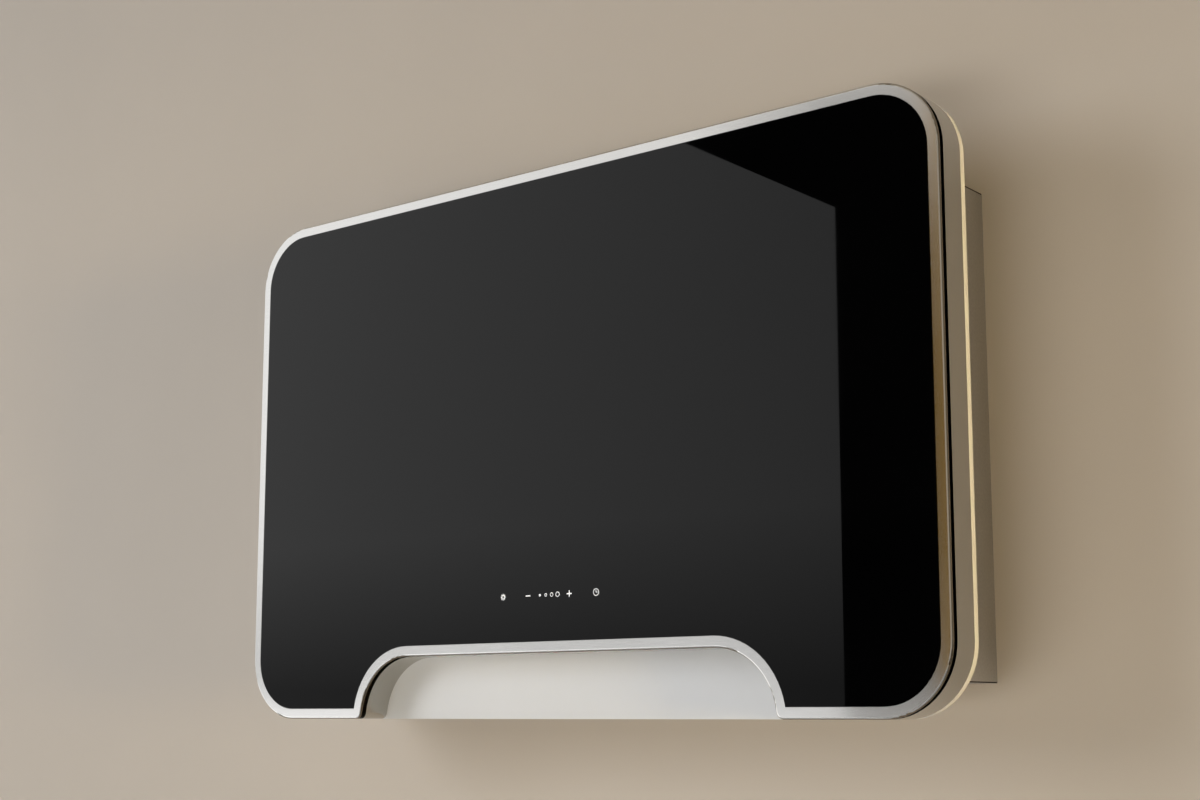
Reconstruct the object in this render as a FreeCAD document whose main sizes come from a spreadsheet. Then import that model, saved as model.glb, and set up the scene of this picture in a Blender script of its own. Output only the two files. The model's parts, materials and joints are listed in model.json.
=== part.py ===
"""Wall mount range hood: a rounded steel shell with a hinged black glass front, fan and filters inside.

Millimetres. The origin is the centre of the four wall screw holes, on the wall: +X is to the right as the
hood is seen, +Y goes into the wall and +Z is up. Depths are given as "out", the distance from the wall.
"""
import FreeCAD
import Part
import Sketcher
import math
import os
from types import SimpleNamespace

SIZES = {
    # Outline of the hood, seen from the front
    "hood_width": 900.0,
    "hood_height": 574.0,
    "hood_depth": 150.0,
    "corner_radius": 68.0,
    "mouth_flat": 404.0,
    "mouth_height": 66.6,
    "mouth_radius": 69.0,
    "foot_radius": 8.0,
    # Front panel
    "rim_width": 11.0,
    "rim_thick": 2.5,
    "rim_edge_round": 2.0,
    "rim_wall": 2.0,
    "glass_thick": 4.0,
    "backing_thick": 1.0,
    "rib_width": 40.0,
    "rib_height": 7.0,
    "rib_length": 340.0,
    "rib_pitch": 460.0,
    "rib_thick": 1.0,
    # Shell, back pan and rear box
    "slot_gap": 6.0,
    "shell_depth": 32.0,
    "shell_wall": 1.2,
    "shell_lip": 8.0,
    "pan_depth": 7.3,
    "pan_wall": 1.0,
    "box_inset_side": 33.5,
    "box_inset_bottom": 33.0,
    "box_height": 466.5,
    "box_wall": 1.2,
    "box_flange": 14.0,
    "wall_hole_radius": 4.0,
    "wall_hole_inset_x": 46.5,
    "wall_hole_inset_z": 43.25,
    "bracket_leg": 20.0,
    "bracket_width": 24.0,
    "bracket_thick": 1.5,
    "bracket_margin": 10.0,
    # Hinges, magnets and buffers of the panel
    "hinge_pitch": 600.0,
    "hinge_drop": 4.0,
    "hinge_setback": 5.5,
    "knuckle_radius": 2.3,
    "knuckle_length": 24.0,
    "hinge_pin_radius": 1.2,
    "leaf_height": 34.0,
    "leaf_thick": 1.5,
    "magnet_radius": 6.0,
    "magnet_inset": 22.0,
    "magnet_rise": 120.0,
    "carrier_depth": 16.0,
    "carrier_wall": 4.0,
    "magnet_set_back": 16.0,
    "catch_plate_radius": 8.0,
    "catch_plate_thick": 2.0,
    "buffer_radius": 3.0,
    "buffer_inset": 32.0,
    # Touch control
    "touch_rise": 124.5,
    "touch_board_width": 160.0,
    "touch_board_height": 26.0,
    "board_thick": 1.6,
    "touch_margin": 6.0,
    "touch_cover_depth": 11.0,
    "touch_cover_wall": 2.0,
    # Grease filters and their latches
    "filter_width": 330.0,
    "filter_height": 330.0,
    "filter_thick": 9.0,
    "filter_bar": 14.0,
    "filter_spacing": 24.0,
    "filter_lift": 17.5,
    "filter_lap": 8.0,
    "mesh_thick": 2.0,
    "latch_width": 44.0,
    "latch_thick": 4.0,
    "latch_height": 26.0,
    "latch_bolt_width": 16.0,
    "latch_bolt_reach": 6.0,
    "latch_tab_reach": 8.0,
    "latch_tab_height": 4.0,
    "guide_width": 5.0,
    "guide_cap": 1.6,
    "guide_cap_height": 6.0,
    "hook_width": 30.0,
    "hook_thick": 2.0,
    "hook_lip": 6.0,
    "hook_pitch": 200.0,
    # Blower
    "fan_radius": 90.0,
    "fan_depth": 45.0,
    "fan_rise": -30.0,
    "fan_disc_thick": 2.0,
    "fan_ring_width": 4.0,
    "fan_ring_thick": 2.0,
    "blade_chord": 15.0,
    "blade_thick": 0.8,
    "blade_radius": 20.0,
    "blade_count": 36,
    "hub_radius": 14.0,
    "hub_length": 12.0,
    "shaft_radius": 4.0,
    "scroll_radius": 125.0,
    "scroll_shift_x": 12.0,
    "scroll_shift_z": 10.0,
    "scroll_wall": 1.5,
    "scroll_depth": 58.0,
    "outlet_width": 150.0,
    "scroll_outlet_rise": 150.0,
    "cover_thick": 1.5,
    "inlet_radius": 70.0,
    "inlet_ring_wall": 2.0,
    "inlet_ring_height": 5.0,
    "cover_boss_radius": 6.0,
    "cover_boss_count": 5,
    "cover_boss_start": 110.0,
    "cover_boss_sweep": 220.0,
    "guard_wire_radius": 1.0,
    "guard_ring_step": 16.0,
    "motor_radius": 42.0,
    "motor_length": 28.0,
    "motor_flange_radius": 54.0,
    "motor_flange_thick": 3.0,
    "grommet_radius": 5.0,
    "grommet_height": 3.0,
    "motor_screw_circle": 48.0,
    "wheel_gap": 3.0,
    "charcoal_height": 40.0,
    # Outlet grille and cable gland on top of the rear box
    "grille_margin": 12.0,
    "grille_thick": 3.0,
    "grille_slot_width": 6.0,
    "grille_slot_count": 12,
    "gland_inset": 116.5,
    "gland_out": 30.0,
    "gland_bore_radius": 4.0,
    "gland_thread_radius": 8.0,
    "gland_head_radius": 12.0,
    "gland_head_height": 10.0,
    "gland_nut_height": 5.0,
    # Electronics in the rear box
    "control_inset": 146.5,
    "control_rise": 123.0,
    "control_width": 160.0,
    "control_height": 120.0,
    "control_depth": 45.0,
    "control_wall": 2.0,
    "standoff_radius": 3.5,
    "standoff_height": 8.0,
    "standoff_inset": 10.0,
    "relay_width": 14.0,
    "relay_height": 24.0,
    "relay_depth": 16.0,
    "relay_pitch": 20.0,
    "transformer_size": 30.0,
    "transformer_depth": 24.0,
    "capacitor_radius": 10.0,
    "capacitor_depth": 26.0,
    "terminal_width": 80.0,
    "terminal_height": 12.0,
    "terminal_pitch": 20.0,
    "driver_inset": 136.5,
    "driver_rise": 123.0,
    "driver_width": 150.0,
    "driver_height": 50.0,
    "driver_depth": 30.0,
    # Lamp in the top of the mouth
    "lamp_length": 380.0,
    "lamp_width": 16.0,
    "lamp_flange": 3.0,
    "lamp_flange_thick": 2.0,
    "lamp_housing_height": 14.0,
    "lamp_wall": 1.2,
    # Screws
    "screw_radius": 2.0,
    "screw_head_radius": 4.0,
    "screw_head_height": 2.2,
    "pan_screw_length": 5.0,
    "cover_screw_length": 14.0,
    "pan_screw_pitch_x": 240.0,
    "pan_screw_pitch_z": 200.0,
    # Clearances
    "fit_gap": 0.2,
    "running_gap": 0.05,
    "loose_gap": 0.3,
}


class Size:
    """A length with its value and the sheet expression that it comes from."""

    def __init__(self, value, text):
        self.value = float(value)
        self.text = text

    @staticmethod
    def of(item):
        return item if isinstance(item, Size) else Size(item, repr(item))

    def _with(self, other, sign, value):
        return Size(value, f"({self.text} {sign} {other.text})")

    def __add__(self, other):
        other = Size.of(other)
        return self._with(other, "+", self.value + other.value)

    def __sub__(self, other):
        other = Size.of(other)
        return self._with(other, "-", self.value - other.value)

    def __mul__(self, other):
        other = Size.of(other)
        return self._with(other, "*", self.value * other.value)

    def __truediv__(self, other):
        other = Size.of(other)
        return self._with(other, "/", self.value / other.value)

    def __neg__(self):
        return Size(-self.value, f"(-{self.text})")

    def __radd__(self, other):
        return Size.of(other) + self

    def __rmul__(self, other):
        return Size.of(other) * self


def root(size):
    return Size(math.sqrt(size.value), f"sqrt({size.text})")


doc = FreeCAD.newDocument("wall_hood")
pieces = {}


def make_sheet():
    """Puts the driving sizes into a sheet and returns them as named sizes."""
    sheet = doc.addObject("Spreadsheet::Sheet", "sizes")
    for row, (alias, value) in enumerate(SIZES.items(), start=1):
        sheet.set(f"A{row}", alias)
        sheet.set(f"B{row}", str(value))
        sheet.setAlias(f"B{row}", alias)
    doc.recompute()
    return SimpleNamespace(**{alias: Size(value, f"sizes.{alias}") for alias, value in SIZES.items()})


s = make_sheet()

# Levels that many pieces share
half_width = s.hood_width / 2
bottom = -(s.box_inset_bottom + s.box_height / 2)
top = bottom + s.hood_height
box_half = half_width - s.box_inset_side
box_top = s.box_height / 2
rim_back = s.hood_depth - s.rim_thick
glass_back = s.hood_depth - s.glass_thick
backing_back = glass_back - s.backing_thick
shell_front = rim_back - s.slot_gap
shell_back = shell_front - s.shell_depth
pan_front = shell_back
box_front = pan_front - s.pan_wall
mouth_top = bottom + s.mouth_height
lamp_low = mouth_top + s.shell_wall
lamp_flange_top = lamp_low + s.lamp_flange_thick
lamp_roof = lamp_flange_top + s.lamp_housing_height
filter_front = pan_front + s.filter_thick
filter_low = lamp_roof + s.filter_lift
filter_top = filter_low + s.filter_height
scroll_front = s.box_wall + s.scroll_depth
cover_front = scroll_front + s.cover_thick


def bind(thing, prop, size):
    """Ties a property to its sheet expression."""
    size = Size.of(size)
    thing.setExpression(prop, size.text)


def keep(thing, name):
    """Makes an object a sub-part: its label names the file."""
    thing.Label = name
    pieces[name] = thing
    return thing


def place(thing, x, out, z):
    bind(thing, "Placement.Base.x", x)
    bind(thing, "Placement.Base.y", -Size.of(out))
    bind(thing, "Placement.Base.z", z)
    return thing


def block(x0, x1, out0, out1, z0, z1):
    """A box between two limits along each axis, given in any order."""
    (x0, x1), (out0, out1), (z0, z1) = [
        sorted(map(Size.of, pair), key=lambda size: size.value) for pair in ((x0, x1), (out0, out1), (z0, z1))
    ]
    box = doc.addObject("Part::Box", "block")
    bind(box, "Length", x1 - x0)
    bind(box, "Width", out1 - out0)
    bind(box, "Height", z1 - z0)
    return place(box, x0, out1, z0)


def rod(radius, length):
    cylinder = doc.addObject("Part::Cylinder", "rod")
    bind(cylinder, "Radius", radius)
    bind(cylinder, "Height", length)
    return cylinder


def rod_out(x, z, radius, out0, out1):
    """A round bar square to the wall."""
    bar = rod(radius, Size.of(out1) - out0)
    bar.Placement.Rotation = FreeCAD.Rotation(FreeCAD.Vector(1, 0, 0), 90)
    return place(bar, x, out0, z)


def rod_up(x, out, radius, z0, z1):
    return place(rod(radius, Size.of(z1) - z0), x, out, z0)


def rod_across(x0, x1, out, z, radius):
    bar = rod(radius, Size.of(x1) - x0)
    bar.Placement.Rotation = FreeCAD.Rotation(FreeCAD.Vector(0, 1, 0), 90)
    return place(bar, x0, out, z)


def joined(*shapes):
    fuse = doc.addObject("Part::MultiFuse", "joined")
    fuse.Shapes = list(shapes)
    fuse.Refine = True
    return fuse


def cut(base, *tools):
    result = doc.addObject("Part::Cut", "cut")
    result.Base = base
    result.Tool = tools[0] if len(tools) == 1 else joined(*tools)
    result.Refine = True
    return result


def group(*shapes):
    """Separate solids that share a node."""
    compound = doc.addObject("Part::Compound", "group")
    compound.Links = list(shapes)
    return compound


def tube_out(x, z, outer, inner, out0, out1):
    """A ring square to the wall."""
    return cut(rod_out(x, z, outer, out0, out1), rod_out(x, z, inner, Size.of(out0) - 1, Size.of(out1) + 1))


# Sketched outlines

def tie(sketch, kind, geometry, point, size):
    """Sets a radius, or a point's distance from the sketch's origin, from the sheet."""
    if kind == "Radius":
        constraint = Sketcher.Constraint(kind, geometry, size.value)
    elif size.value < 0:
        constraint = Sketcher.Constraint(kind, geometry, point, -1, 1, -size.value)
        size = -size
    else:
        constraint = Sketcher.Constraint(kind, -1, 1, geometry, point, size.value)
    index = sketch.addConstraint(constraint)
    sketch.renameConstraint(index, f"size_{index}")
    sketch.setExpression(f"Constraints.size_{index}", size.text)


def add_line(sketch, start, end, level):
    """A level or upright line at a known level. Returns its index and its first and last points."""
    line = sketch.addGeometry(Part.LineSegment(FreeCAD.Vector(*start), FreeCAD.Vector(*end)), False)
    is_level = abs(start[1] - end[1]) < abs(start[0] - end[0])
    sketch.addConstraint(Sketcher.Constraint("Horizontal" if is_level else "Vertical", line))
    tie(sketch, "DistanceY" if is_level else "DistanceX", line, 1, level)
    return line, 1, 2


def add_arc(sketch, centre, radius, first, last):
    """An arc from the first angle to the last, in degrees: falling angles run clockwise."""
    low, high = sorted((first, last))
    circle = Part.Circle(FreeCAD.Vector(*centre), FreeCAD.Vector(0, 0, 1), radius.value)
    arc = sketch.addGeometry(Part.ArcOfCircle(circle, math.radians(low), math.radians(high)), False)
    tie(sketch, "Radius", arc, None, radius)
    return (arc, 1, 2) if first < last else (arc, 2, 1)


def close_outline(sketch, parts, sharp_after=()):
    """Joins the parts end to end, tangent unless the joint is named as sharp."""
    for number, (geometry, _, last) in enumerate(parts):
        following, first, _ = parts[(number + 1) % len(parts)]
        kind = "Coincident" if number in sharp_after else "Tangent"
        sketch.addConstraint(Sketcher.Constraint(kind, geometry, last, following, first))


def rounded_rectangle(sketch, x0, x1, z0, z1, radius):
    r = radius.value
    left, right, low, high = x0.value, x1.value, z0.value, z1.value
    close_outline(sketch, [
        add_line(sketch, (left + r, low), (right - r, low), z0),
        add_arc(sketch, (right - r, low + r), radius, -90, 0),
        add_line(sketch, (right, low + r), (right, high - r), x1),
        add_arc(sketch, (right - r, high - r), radius, 0, 90),
        add_line(sketch, (right - r, high), (left + r, high), z1),
        add_arc(sketch, (left + r, high - r), radius, 90, 180),
        add_line(sketch, (left, high - r), (left, low + r), x0),
        add_arc(sketch, (left + r, low + r), radius, 180, 270),
    ])


def hood_rectangle(sketch, inset):
    """The hood's outline without its mouth, drawn in by an inset."""
    rounded_rectangle(
        sketch, inset - half_width, half_width - inset, bottom + inset, top - inset, s.corner_radius - inset)


def hood_outline(sketch, inset):
    """The hood's outline with the mouth in its lower edge, drawn in by an inset all the way round.

    The mouth's corners are arcs about one pair of centres. Near the outer edge a small foot arc rounds the
    corner where the mouth meets the lower edge, and further in that corner is sharp.
    """
    inset = Size.of(inset)
    radius = s.corner_radius - inset
    arch = s.mouth_radius + inset
    flat = s.mouth_flat / 2
    low_level, high_level = bottom + inset, top - inset
    side_level = half_width - inset
    arch_level = mouth_top + inset
    r, side, low, high = radius.value, side_level.value, low_level.value, high_level.value
    centre_x, centre_z = flat.value, mouth_top.value - s.mouth_radius.value
    foot = s.foot_radius - inset
    is_round = foot.value > 0.5
    if is_round:
        foot_z = low + foot.value
        reach = arch.value + foot.value
        foot_x = centre_x + math.sqrt(reach ** 2 - (foot_z - centre_z) ** 2)
        end_angle = math.degrees(math.atan2(foot_z - centre_z, foot_x - centre_x))
    else:
        foot_x = centre_x + math.sqrt(arch.value ** 2 - (low - centre_z) ** 2)
        end_angle = math.degrees(math.atan2(low - centre_z, foot_x - centre_x))
    parts = [
        add_line(sketch, (foot_x, low), (side - r, low), low_level),
        add_arc(sketch, (side - r, low + r), radius, -90, 0),
        add_line(sketch, (side, low + r), (side, high - r), side_level),
        add_arc(sketch, (side - r, high - r), radius, 0, 90),
        add_line(sketch, (side - r, high), (r - side, high), high_level),
        add_arc(sketch, (r - side, high - r), radius, 90, 180),
        add_line(sketch, (-side, high - r), (-side, low + r), -side_level),
        add_arc(sketch, (r - side, low + r), radius, 180, 270),
        add_line(sketch, (r - side, low), (-foot_x, low), low_level),
    ]
    sharp_after = []
    if is_round:
        parts.append(add_arc(sketch, (-foot_x, foot_z), foot, 270, 360 - end_angle))
    else:
        sharp_after.append(len(parts) - 1)
    left_arch = add_arc(sketch, (-centre_x, centre_z), arch, 180 - end_angle, 90)
    parts.append(left_arch)
    parts.append(add_line(sketch, (-centre_x, arch_level.value), (centre_x, arch_level.value), arch_level))
    right_arch = add_arc(sketch, (centre_x, centre_z), arch, 90, end_angle)
    parts.append(right_arch)
    if is_round:
        parts.append(add_arc(sketch, (foot_x, foot_z), foot, 180 + end_angle, 270))
    else:
        sharp_after.append(len(parts) - 1)
    close_outline(sketch, parts, sharp_after)
    tie(sketch, "DistanceX", left_arch[0], 3, -flat)
    tie(sketch, "DistanceX", right_arch[0], 3, flat)


class FrontBody:
    """A body built from outlines drawn in planes parallel to the wall."""

    def __init__(self, name):
        self.body = doc.addObject("PartDesign::Body", name)
        self.plane = next(f for f in self.body.Origin.OriginFeatures if f.Role == "XZ_Plane")

    def sketch(self, out):
        sketch = self.body.newObject("Sketcher::SketchObject", "outline")
        sketch.AttachmentSupport = [(self.plane, "")]
        sketch.MapMode = "FlatFace"
        bind(sketch, "AttachmentOffset.Base.z", out)
        return sketch

    def feature(self, kind, draw, out, length):
        sketch = self.sketch(out)
        draw(sketch)
        feature = self.body.newObject(f"PartDesign::{kind}", kind.lower())
        feature.Profile = sketch
        bind(feature, "Length", length)
        doc.recompute()
        return feature

    def pad(self, draw, out0, out1):
        """Adds material from one depth out to the next."""
        return self.feature("Pad", draw, out0, Size.of(out1) - out0)

    def pocket(self, draw, out1, out0):
        """Takes material away from one depth back to the next, and makes sure that some came off."""
        before = self.body.Shape.Volume
        pocket = self.feature("Pocket", draw, out1, Size.of(out1) - out0)
        if self.body.Shape.Volume > before - 1:
            raise ValueError(f"{self.body.Name}: a pocket cut nothing")
        return pocket


def outline(inset):
    return lambda sketch: hood_outline(sketch, inset)


def rectangle(inset):
    return lambda sketch: hood_rectangle(sketch, Size.of(inset))


# Front panel

def front_glass():
    glass = FrontBody("glass_body")
    glass.pad(outline(s.rim_width + s.fit_gap), glass_back, s.hood_depth)
    keep(glass.body, "front_glass")


def front_rim():
    """A flat steel rim round the glass, with a wall turned back behind its inner edge."""
    rim = FrontBody("rim_body")
    flange = rim.pad(outline(0), rim_back, s.hood_depth)
    front_edges = [
        f"Edge{number}" for number, edge in enumerate(flange.Shape.Edges, start=1)
        if all(abs(vertex.Point.y + s.hood_depth.value) < 1e-6 for vertex in edge.Vertexes)
    ]
    fillet = rim.body.newObject("PartDesign::Fillet", "edge_round")
    fillet.Base = (flange, front_edges)
    bind(fillet, "Radius", s.rim_edge_round)
    doc.recompute()
    rim.pad(outline(s.rim_width - s.rim_wall), backing_back, rim_back)
    rim.pocket(outline(s.rim_width), s.hood_depth, backing_back)
    keep(rim.body, "front_rim")


touch_z = bottom + s.touch_rise
touch_half = s.touch_board_width / 2
touch_half_height = s.touch_board_height / 2


def panel_backing():
    """A steel sheet bonded to the back of the glass, with a window behind the touch controls."""
    sheet = FrontBody("backing_body")
    sheet.pad(outline(s.rim_width + s.fit_gap), backing_back, glass_back)
    half = touch_half + s.loose_gap
    half_height = touch_half_height + s.loose_gap
    window = block(-half, half, backing_back - 1, glass_back + 1,
                   touch_z - half_height, touch_z + half_height)
    keep(cut(sheet.body, window), "panel_backing")


def panel_ribs():
    """Two upright hat-shaped ribs that keep the backing flat."""
    ribs = []
    for side in (-1, 1):
        x = side * s.rib_pitch / 2
        half = s.rib_width / 2
        rise = s.rib_length / 2
        back = backing_back - s.rib_height
        solid = block(x - half, x + half, back, backing_back, -rise, rise)
        inner = half - s.rib_thick
        hollow = block(x - inner, x + inner, back + s.rib_thick, backing_back + 1, -rise - 1, rise + 1)
        ribs.append(cut(solid, hollow))
    keep(group(*ribs), "panel_ribs")


def touch_control():
    board = block(-touch_half, touch_half, glass_back - s.board_thick, glass_back,
                  touch_z - touch_half_height, touch_z + touch_half_height)
    keep(board, "touch_board")
    half = touch_half + s.touch_margin
    half_height = touch_half_height + s.touch_margin
    back = backing_back - s.touch_cover_depth
    case = block(-half, half, back, backing_back, touch_z - half_height, touch_z + half_height)
    inner = half - s.touch_cover_wall
    inner_height = half_height - s.touch_cover_wall
    hollow = block(-inner, inner, back + s.touch_cover_wall, backing_back + 1,
                   touch_z - inner_height, touch_z + inner_height)
    keep(cut(case, hollow), "touch_cover")


# Hinges, magnets and buffers

hinge_out = s.hood_depth - s.hinge_setback
hinge_z = top - s.hinge_drop
hinge_centres = [side * s.hinge_pitch / 2 for side in (-1, 1)]
screw_hole = s.screw_radius + s.running_gap


def leaf_stud_places(x):
    """Where the studs of one hinge leaf stand, at each side of the knuckle."""
    return [(x + side * s.knuckle_length, hinge_z - s.leaf_height / 2) for side in (-1, 1)]


def screw(x, z, seat, reach):
    """A pan-head screw whose head sits on the seat, with its shank going back towards the wall."""
    head = rod_out(x, z, s.screw_head_radius, seat, seat + s.screw_head_height)
    return joined(head, rod_out(x, z, s.screw_radius, seat - reach, seat))


def hinge_leaves():
    """The panel's halves of the hinges: a plate behind the backing and one knuckle in the slot."""
    leaf_back = backing_back - s.leaf_thick
    leaves = []
    for x in hinge_centres:
        half = s.knuckle_length / 2
        wing = half + s.knuckle_length
        plate = block(x - wing, x + wing, leaf_back, backing_back,
                      hinge_z - s.leaf_height, hinge_z - s.rim_width)
        tongue = block(x - half, x + half, leaf_back, backing_back, hinge_z - s.rim_width, hinge_z)
        knuckle = rod_across(x - half, x + half, hinge_out, hinge_z, s.knuckle_radius)
        bore = rod_across(x - wing, x + wing, hinge_out, hinge_z, s.hinge_pin_radius + s.running_gap)
        holes = [rod_out(hole_x, hole_z, screw_hole, leaf_back - 1, backing_back + 1)
                 for hole_x, hole_z in leaf_stud_places(x)]
        leaves.append(cut(joined(plate, tongue, knuckle), bore, *holes))
    keep(group(*leaves), "hinge_leaves")


def hinge_brackets():
    """The shell's halves: a foot on the lip and a knuckle at each side of the panel's."""
    brackets = []
    for x in hinge_centres:
        half = s.knuckle_length / 2
        for side in (-1, 1):
            near = x + side * (half + s.loose_gap)
            far = near + side * s.knuckle_length
            low, high = sorted((near, far), key=lambda size: size.value)
            foot = block(low, high, shell_front, shell_front + s.leaf_thick, top - s.shell_lip, hinge_z)
            knuckle = rod_across(low, high, hinge_out, hinge_z, s.knuckle_radius)
            bore = rod_across(low - 1, high + 1, hinge_out, hinge_z, s.hinge_pin_radius)
            brackets.append(cut(joined(foot, knuckle), bore))
    keep(group(*brackets), "hinge_brackets")


def hinge_pins():
    reach = s.knuckle_length * 1.5 + s.loose_gap
    pins = [rod_across(x - reach, x + reach, hinge_out, hinge_z, s.hinge_pin_radius) for x in hinge_centres]
    keep(group(*pins), "hinge_pins")


magnet_x = half_width - s.magnet_inset
magnet_z = bottom + s.magnet_rise
catch_back = backing_back - s.catch_plate_thick


def magnet_catches():
    """A magnet at each side of the shell, in a carrier on its wall, and a steel disc for it on the panel."""
    carriers, magnets, discs = [], [], []
    magnet_back = shell_front - s.magnet_set_back
    carrier_back = magnet_back - s.carrier_depth / 2
    half = s.magnet_radius + s.carrier_wall
    for side in (-1, 1):
        x = side * magnet_x
        wall = side * (half_width - s.shell_wall)
        carrier = block(wall, side * (magnet_x - half), carrier_back, carrier_back + s.carrier_depth,
                        magnet_z - half, magnet_z + half)
        carriers.append(cut(carrier, rod_out(x, magnet_z, s.magnet_radius, magnet_back, shell_front)))
        magnets.append(rod_out(x, magnet_z, s.magnet_radius, magnet_back, catch_back - s.fit_gap))
        discs.append(rod_out(x, magnet_z, s.catch_plate_radius, catch_back, backing_back))
    keep(group(*carriers), "magnet_carriers")
    keep(group(*magnets), "catch_magnets")
    keep(group(*discs), "catch_plates")


def panel_buffers():
    """Rubber stops on the shell's lip that hold the suction slot open along the lower edge."""
    buffers = []
    for side in (-1, 1):
        x = side * (half_width - s.corner_radius - s.buffer_inset)
        z = bottom + s.shell_lip / 2
        buffers.append(rod_out(x, z, s.buffer_radius, shell_front, rim_back - s.fit_gap))
    keep(group(*buffers), "panel_buffers")


# Shell, back pan and rear box

lamp_half = s.lamp_length / 2
lamp_out = shell_back + s.shell_depth / 2


def front_shell():
    """A tray open to the back, with a narrow lip behind the suction slot and a lamp window in its mouth."""
    shell = FrontBody("shell_body")
    shell.pad(outline(0), shell_back, shell_front)
    shell.pocket(outline(s.shell_wall), shell_front - s.shell_wall, shell_back)
    shell.pocket(outline(s.shell_lip), shell_front, shell_front - s.shell_wall)
    window = block(-lamp_half, lamp_half, lamp_out - s.lamp_width / 2, lamp_out + s.lamp_width / 2,
                   mouth_top - 1, lamp_low + 1)
    keep(cut(shell.body, window), "front_shell")


def filter_centre(side):
    return side * (s.filter_width + s.filter_spacing) / 2


def pan_screw_places():
    """Along the middle of the rear box's front flange, but none behind the mouth."""
    x_side = box_half - s.box_flange / 2
    z_side = box_top - s.box_flange / 2
    upper = [(step * s.pan_screw_pitch_x, z_side) for step in (-1.5, -0.5, 0.5, 1.5)]
    lower = [(step * s.pan_screw_pitch_x, -z_side) for step in (-1.5, 1.5)]
    columns = [(side * x_side, step * s.pan_screw_pitch_z) for step in (-0.5, 0.5) for side in (-1, 1)]
    return upper + lower + columns


def back_pan():
    """The shell's back: a plate with the filter openings, plain behind the mouth, and a rim turned back."""
    pan = FrontBody("pan_body")
    pan.pad(rectangle(0), pan_front - s.pan_depth, pan_front)
    pan.pocket(rectangle(s.pan_wall), box_front, pan_front - s.pan_depth)
    half = s.filter_width / 2 - s.filter_lap
    openings = [
        block(x - half, x + half, box_front - 1, pan_front + 1,
              filter_low + s.filter_lap, filter_top - s.filter_lap)
        for x in (filter_centre(-1), filter_centre(1))
    ]
    holes = [rod_out(x, z, screw_hole, box_front - 1, pan_front + 1) for x, z in pan_screw_places()]
    keep(cut(pan.body, *openings, *holes), "back_pan")


def shell_brackets():
    """Angle brackets inside that join the shell's walls to the back pan."""
    inner_x = half_width - s.shell_wall
    half = s.bracket_width / 2
    brackets = []
    for side in (-1, 1):
        for z in (-s.pan_screw_pitch_z / 2, s.pan_screw_pitch_z / 2):
            wall = side * inner_x
            leg = block(wall, side * (inner_x - s.bracket_thick), pan_front, pan_front + s.bracket_leg,
                        z - half, z + half)
            foot = block(wall, side * (inner_x - s.bracket_leg), pan_front, pan_front + s.bracket_thick,
                         z - half, z + half)
            brackets.append(joined(leg, foot))
        x = side * (half_width - s.corner_radius - s.bracket_margin - half)
        for wall, turn in ((top - s.shell_wall, -1), (bottom + s.shell_wall, 1)):
            leg = block(x - half, x + half, pan_front, pan_front + s.bracket_leg,
                        wall, wall + turn * s.bracket_thick)
            foot = block(x - half, x + half, pan_front, pan_front + s.bracket_thick,
                         wall, wall + turn * s.bracket_leg)
            brackets.append(joined(leg, foot))
    keep(group(*brackets), "shell_brackets")


outlet_right = s.scroll_shift_x + s.scroll_radius
outlet_left = outlet_right - s.outlet_width
duct_back = s.box_wall
scroll_x = s.scroll_shift_x
scroll_z = s.fan_rise - s.scroll_shift_z


def rear_box():
    """The box that hangs on the wall: a back plate and four walls, each with an inward front flange."""
    wall = s.box_wall
    inner = box_half - wall
    inner_z = box_top - wall
    mouth_x = box_half - s.box_flange
    mouth_z = box_top - s.box_flange
    flange_back = box_front - wall
    screw_holes = [(x, z, rod_out(x, z, screw_hole, flange_back - 1, box_front + 1))
                   for x, z in pan_screw_places()]
    hole_x, hole_z = box_half - s.wall_hole_inset_x, box_top - s.wall_hole_inset_z
    wall_holes = [rod_out(side * hole_x, lift * hole_z, s.wall_hole_radius, -1, wall + 1)
                  for side in (-1, 1) for lift in (-1, 1)]
    keep(cut(block(-box_half, box_half, 0, wall, -box_top, box_top), *wall_holes), "box_back")

    outlet = block(outlet_left + s.scroll_wall, outlet_right - s.scroll_wall,
                   duct_back + s.scroll_wall, scroll_front, inner_z - 1, box_top + 1)
    thread_hole = s.gland_thread_radius + s.running_gap
    gland_hole = rod_up(box_half - s.gland_inset, s.gland_out, thread_hole, inner_z - 1, box_top + 1)
    for lift, name, openings in ((1, "box_top", [outlet, gland_hole]), (-1, "box_bottom", [])):
        sheet = block(-box_half, box_half, wall, box_front, lift * inner_z, lift * box_top)
        flange = block(-box_half, box_half, flange_back, box_front, lift * mouth_z, lift * inner_z)
        holes = [hole for _, z, hole in screw_holes if z.value * lift > mouth_z.value]
        keep(cut(joined(sheet, flange), *openings, *holes), name)
    for side, name in ((-1, "box_left"), (1, "box_right")):
        sheet = block(side * inner, side * box_half, wall, box_front, -inner_z, inner_z)
        flange = block(side * mouth_x, side * inner, flange_back, box_front, -mouth_z, mouth_z)
        clear = [block(side * mouth_x, side * box_half, flange_back, box_front + 1,
                       lift * mouth_z, lift * inner_z) for lift in (-1, 1)]
        holes = [hole for x, _, hole in screw_holes if x.value * side > mouth_x.value]
        keep(cut(joined(sheet, flange), *clear, *holes), name)


def pan_screws():
    screws = [screw(x, z, pan_front, s.pan_screw_length) for x, z in pan_screw_places()]
    keep(group(*screws), "pan_screws")


# Grease filters

latch_back = filter_front + s.fit_gap
latch_front = latch_back + s.latch_thick
cap_back = latch_front + s.fit_gap
latch_low = filter_top - s.latch_height


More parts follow.
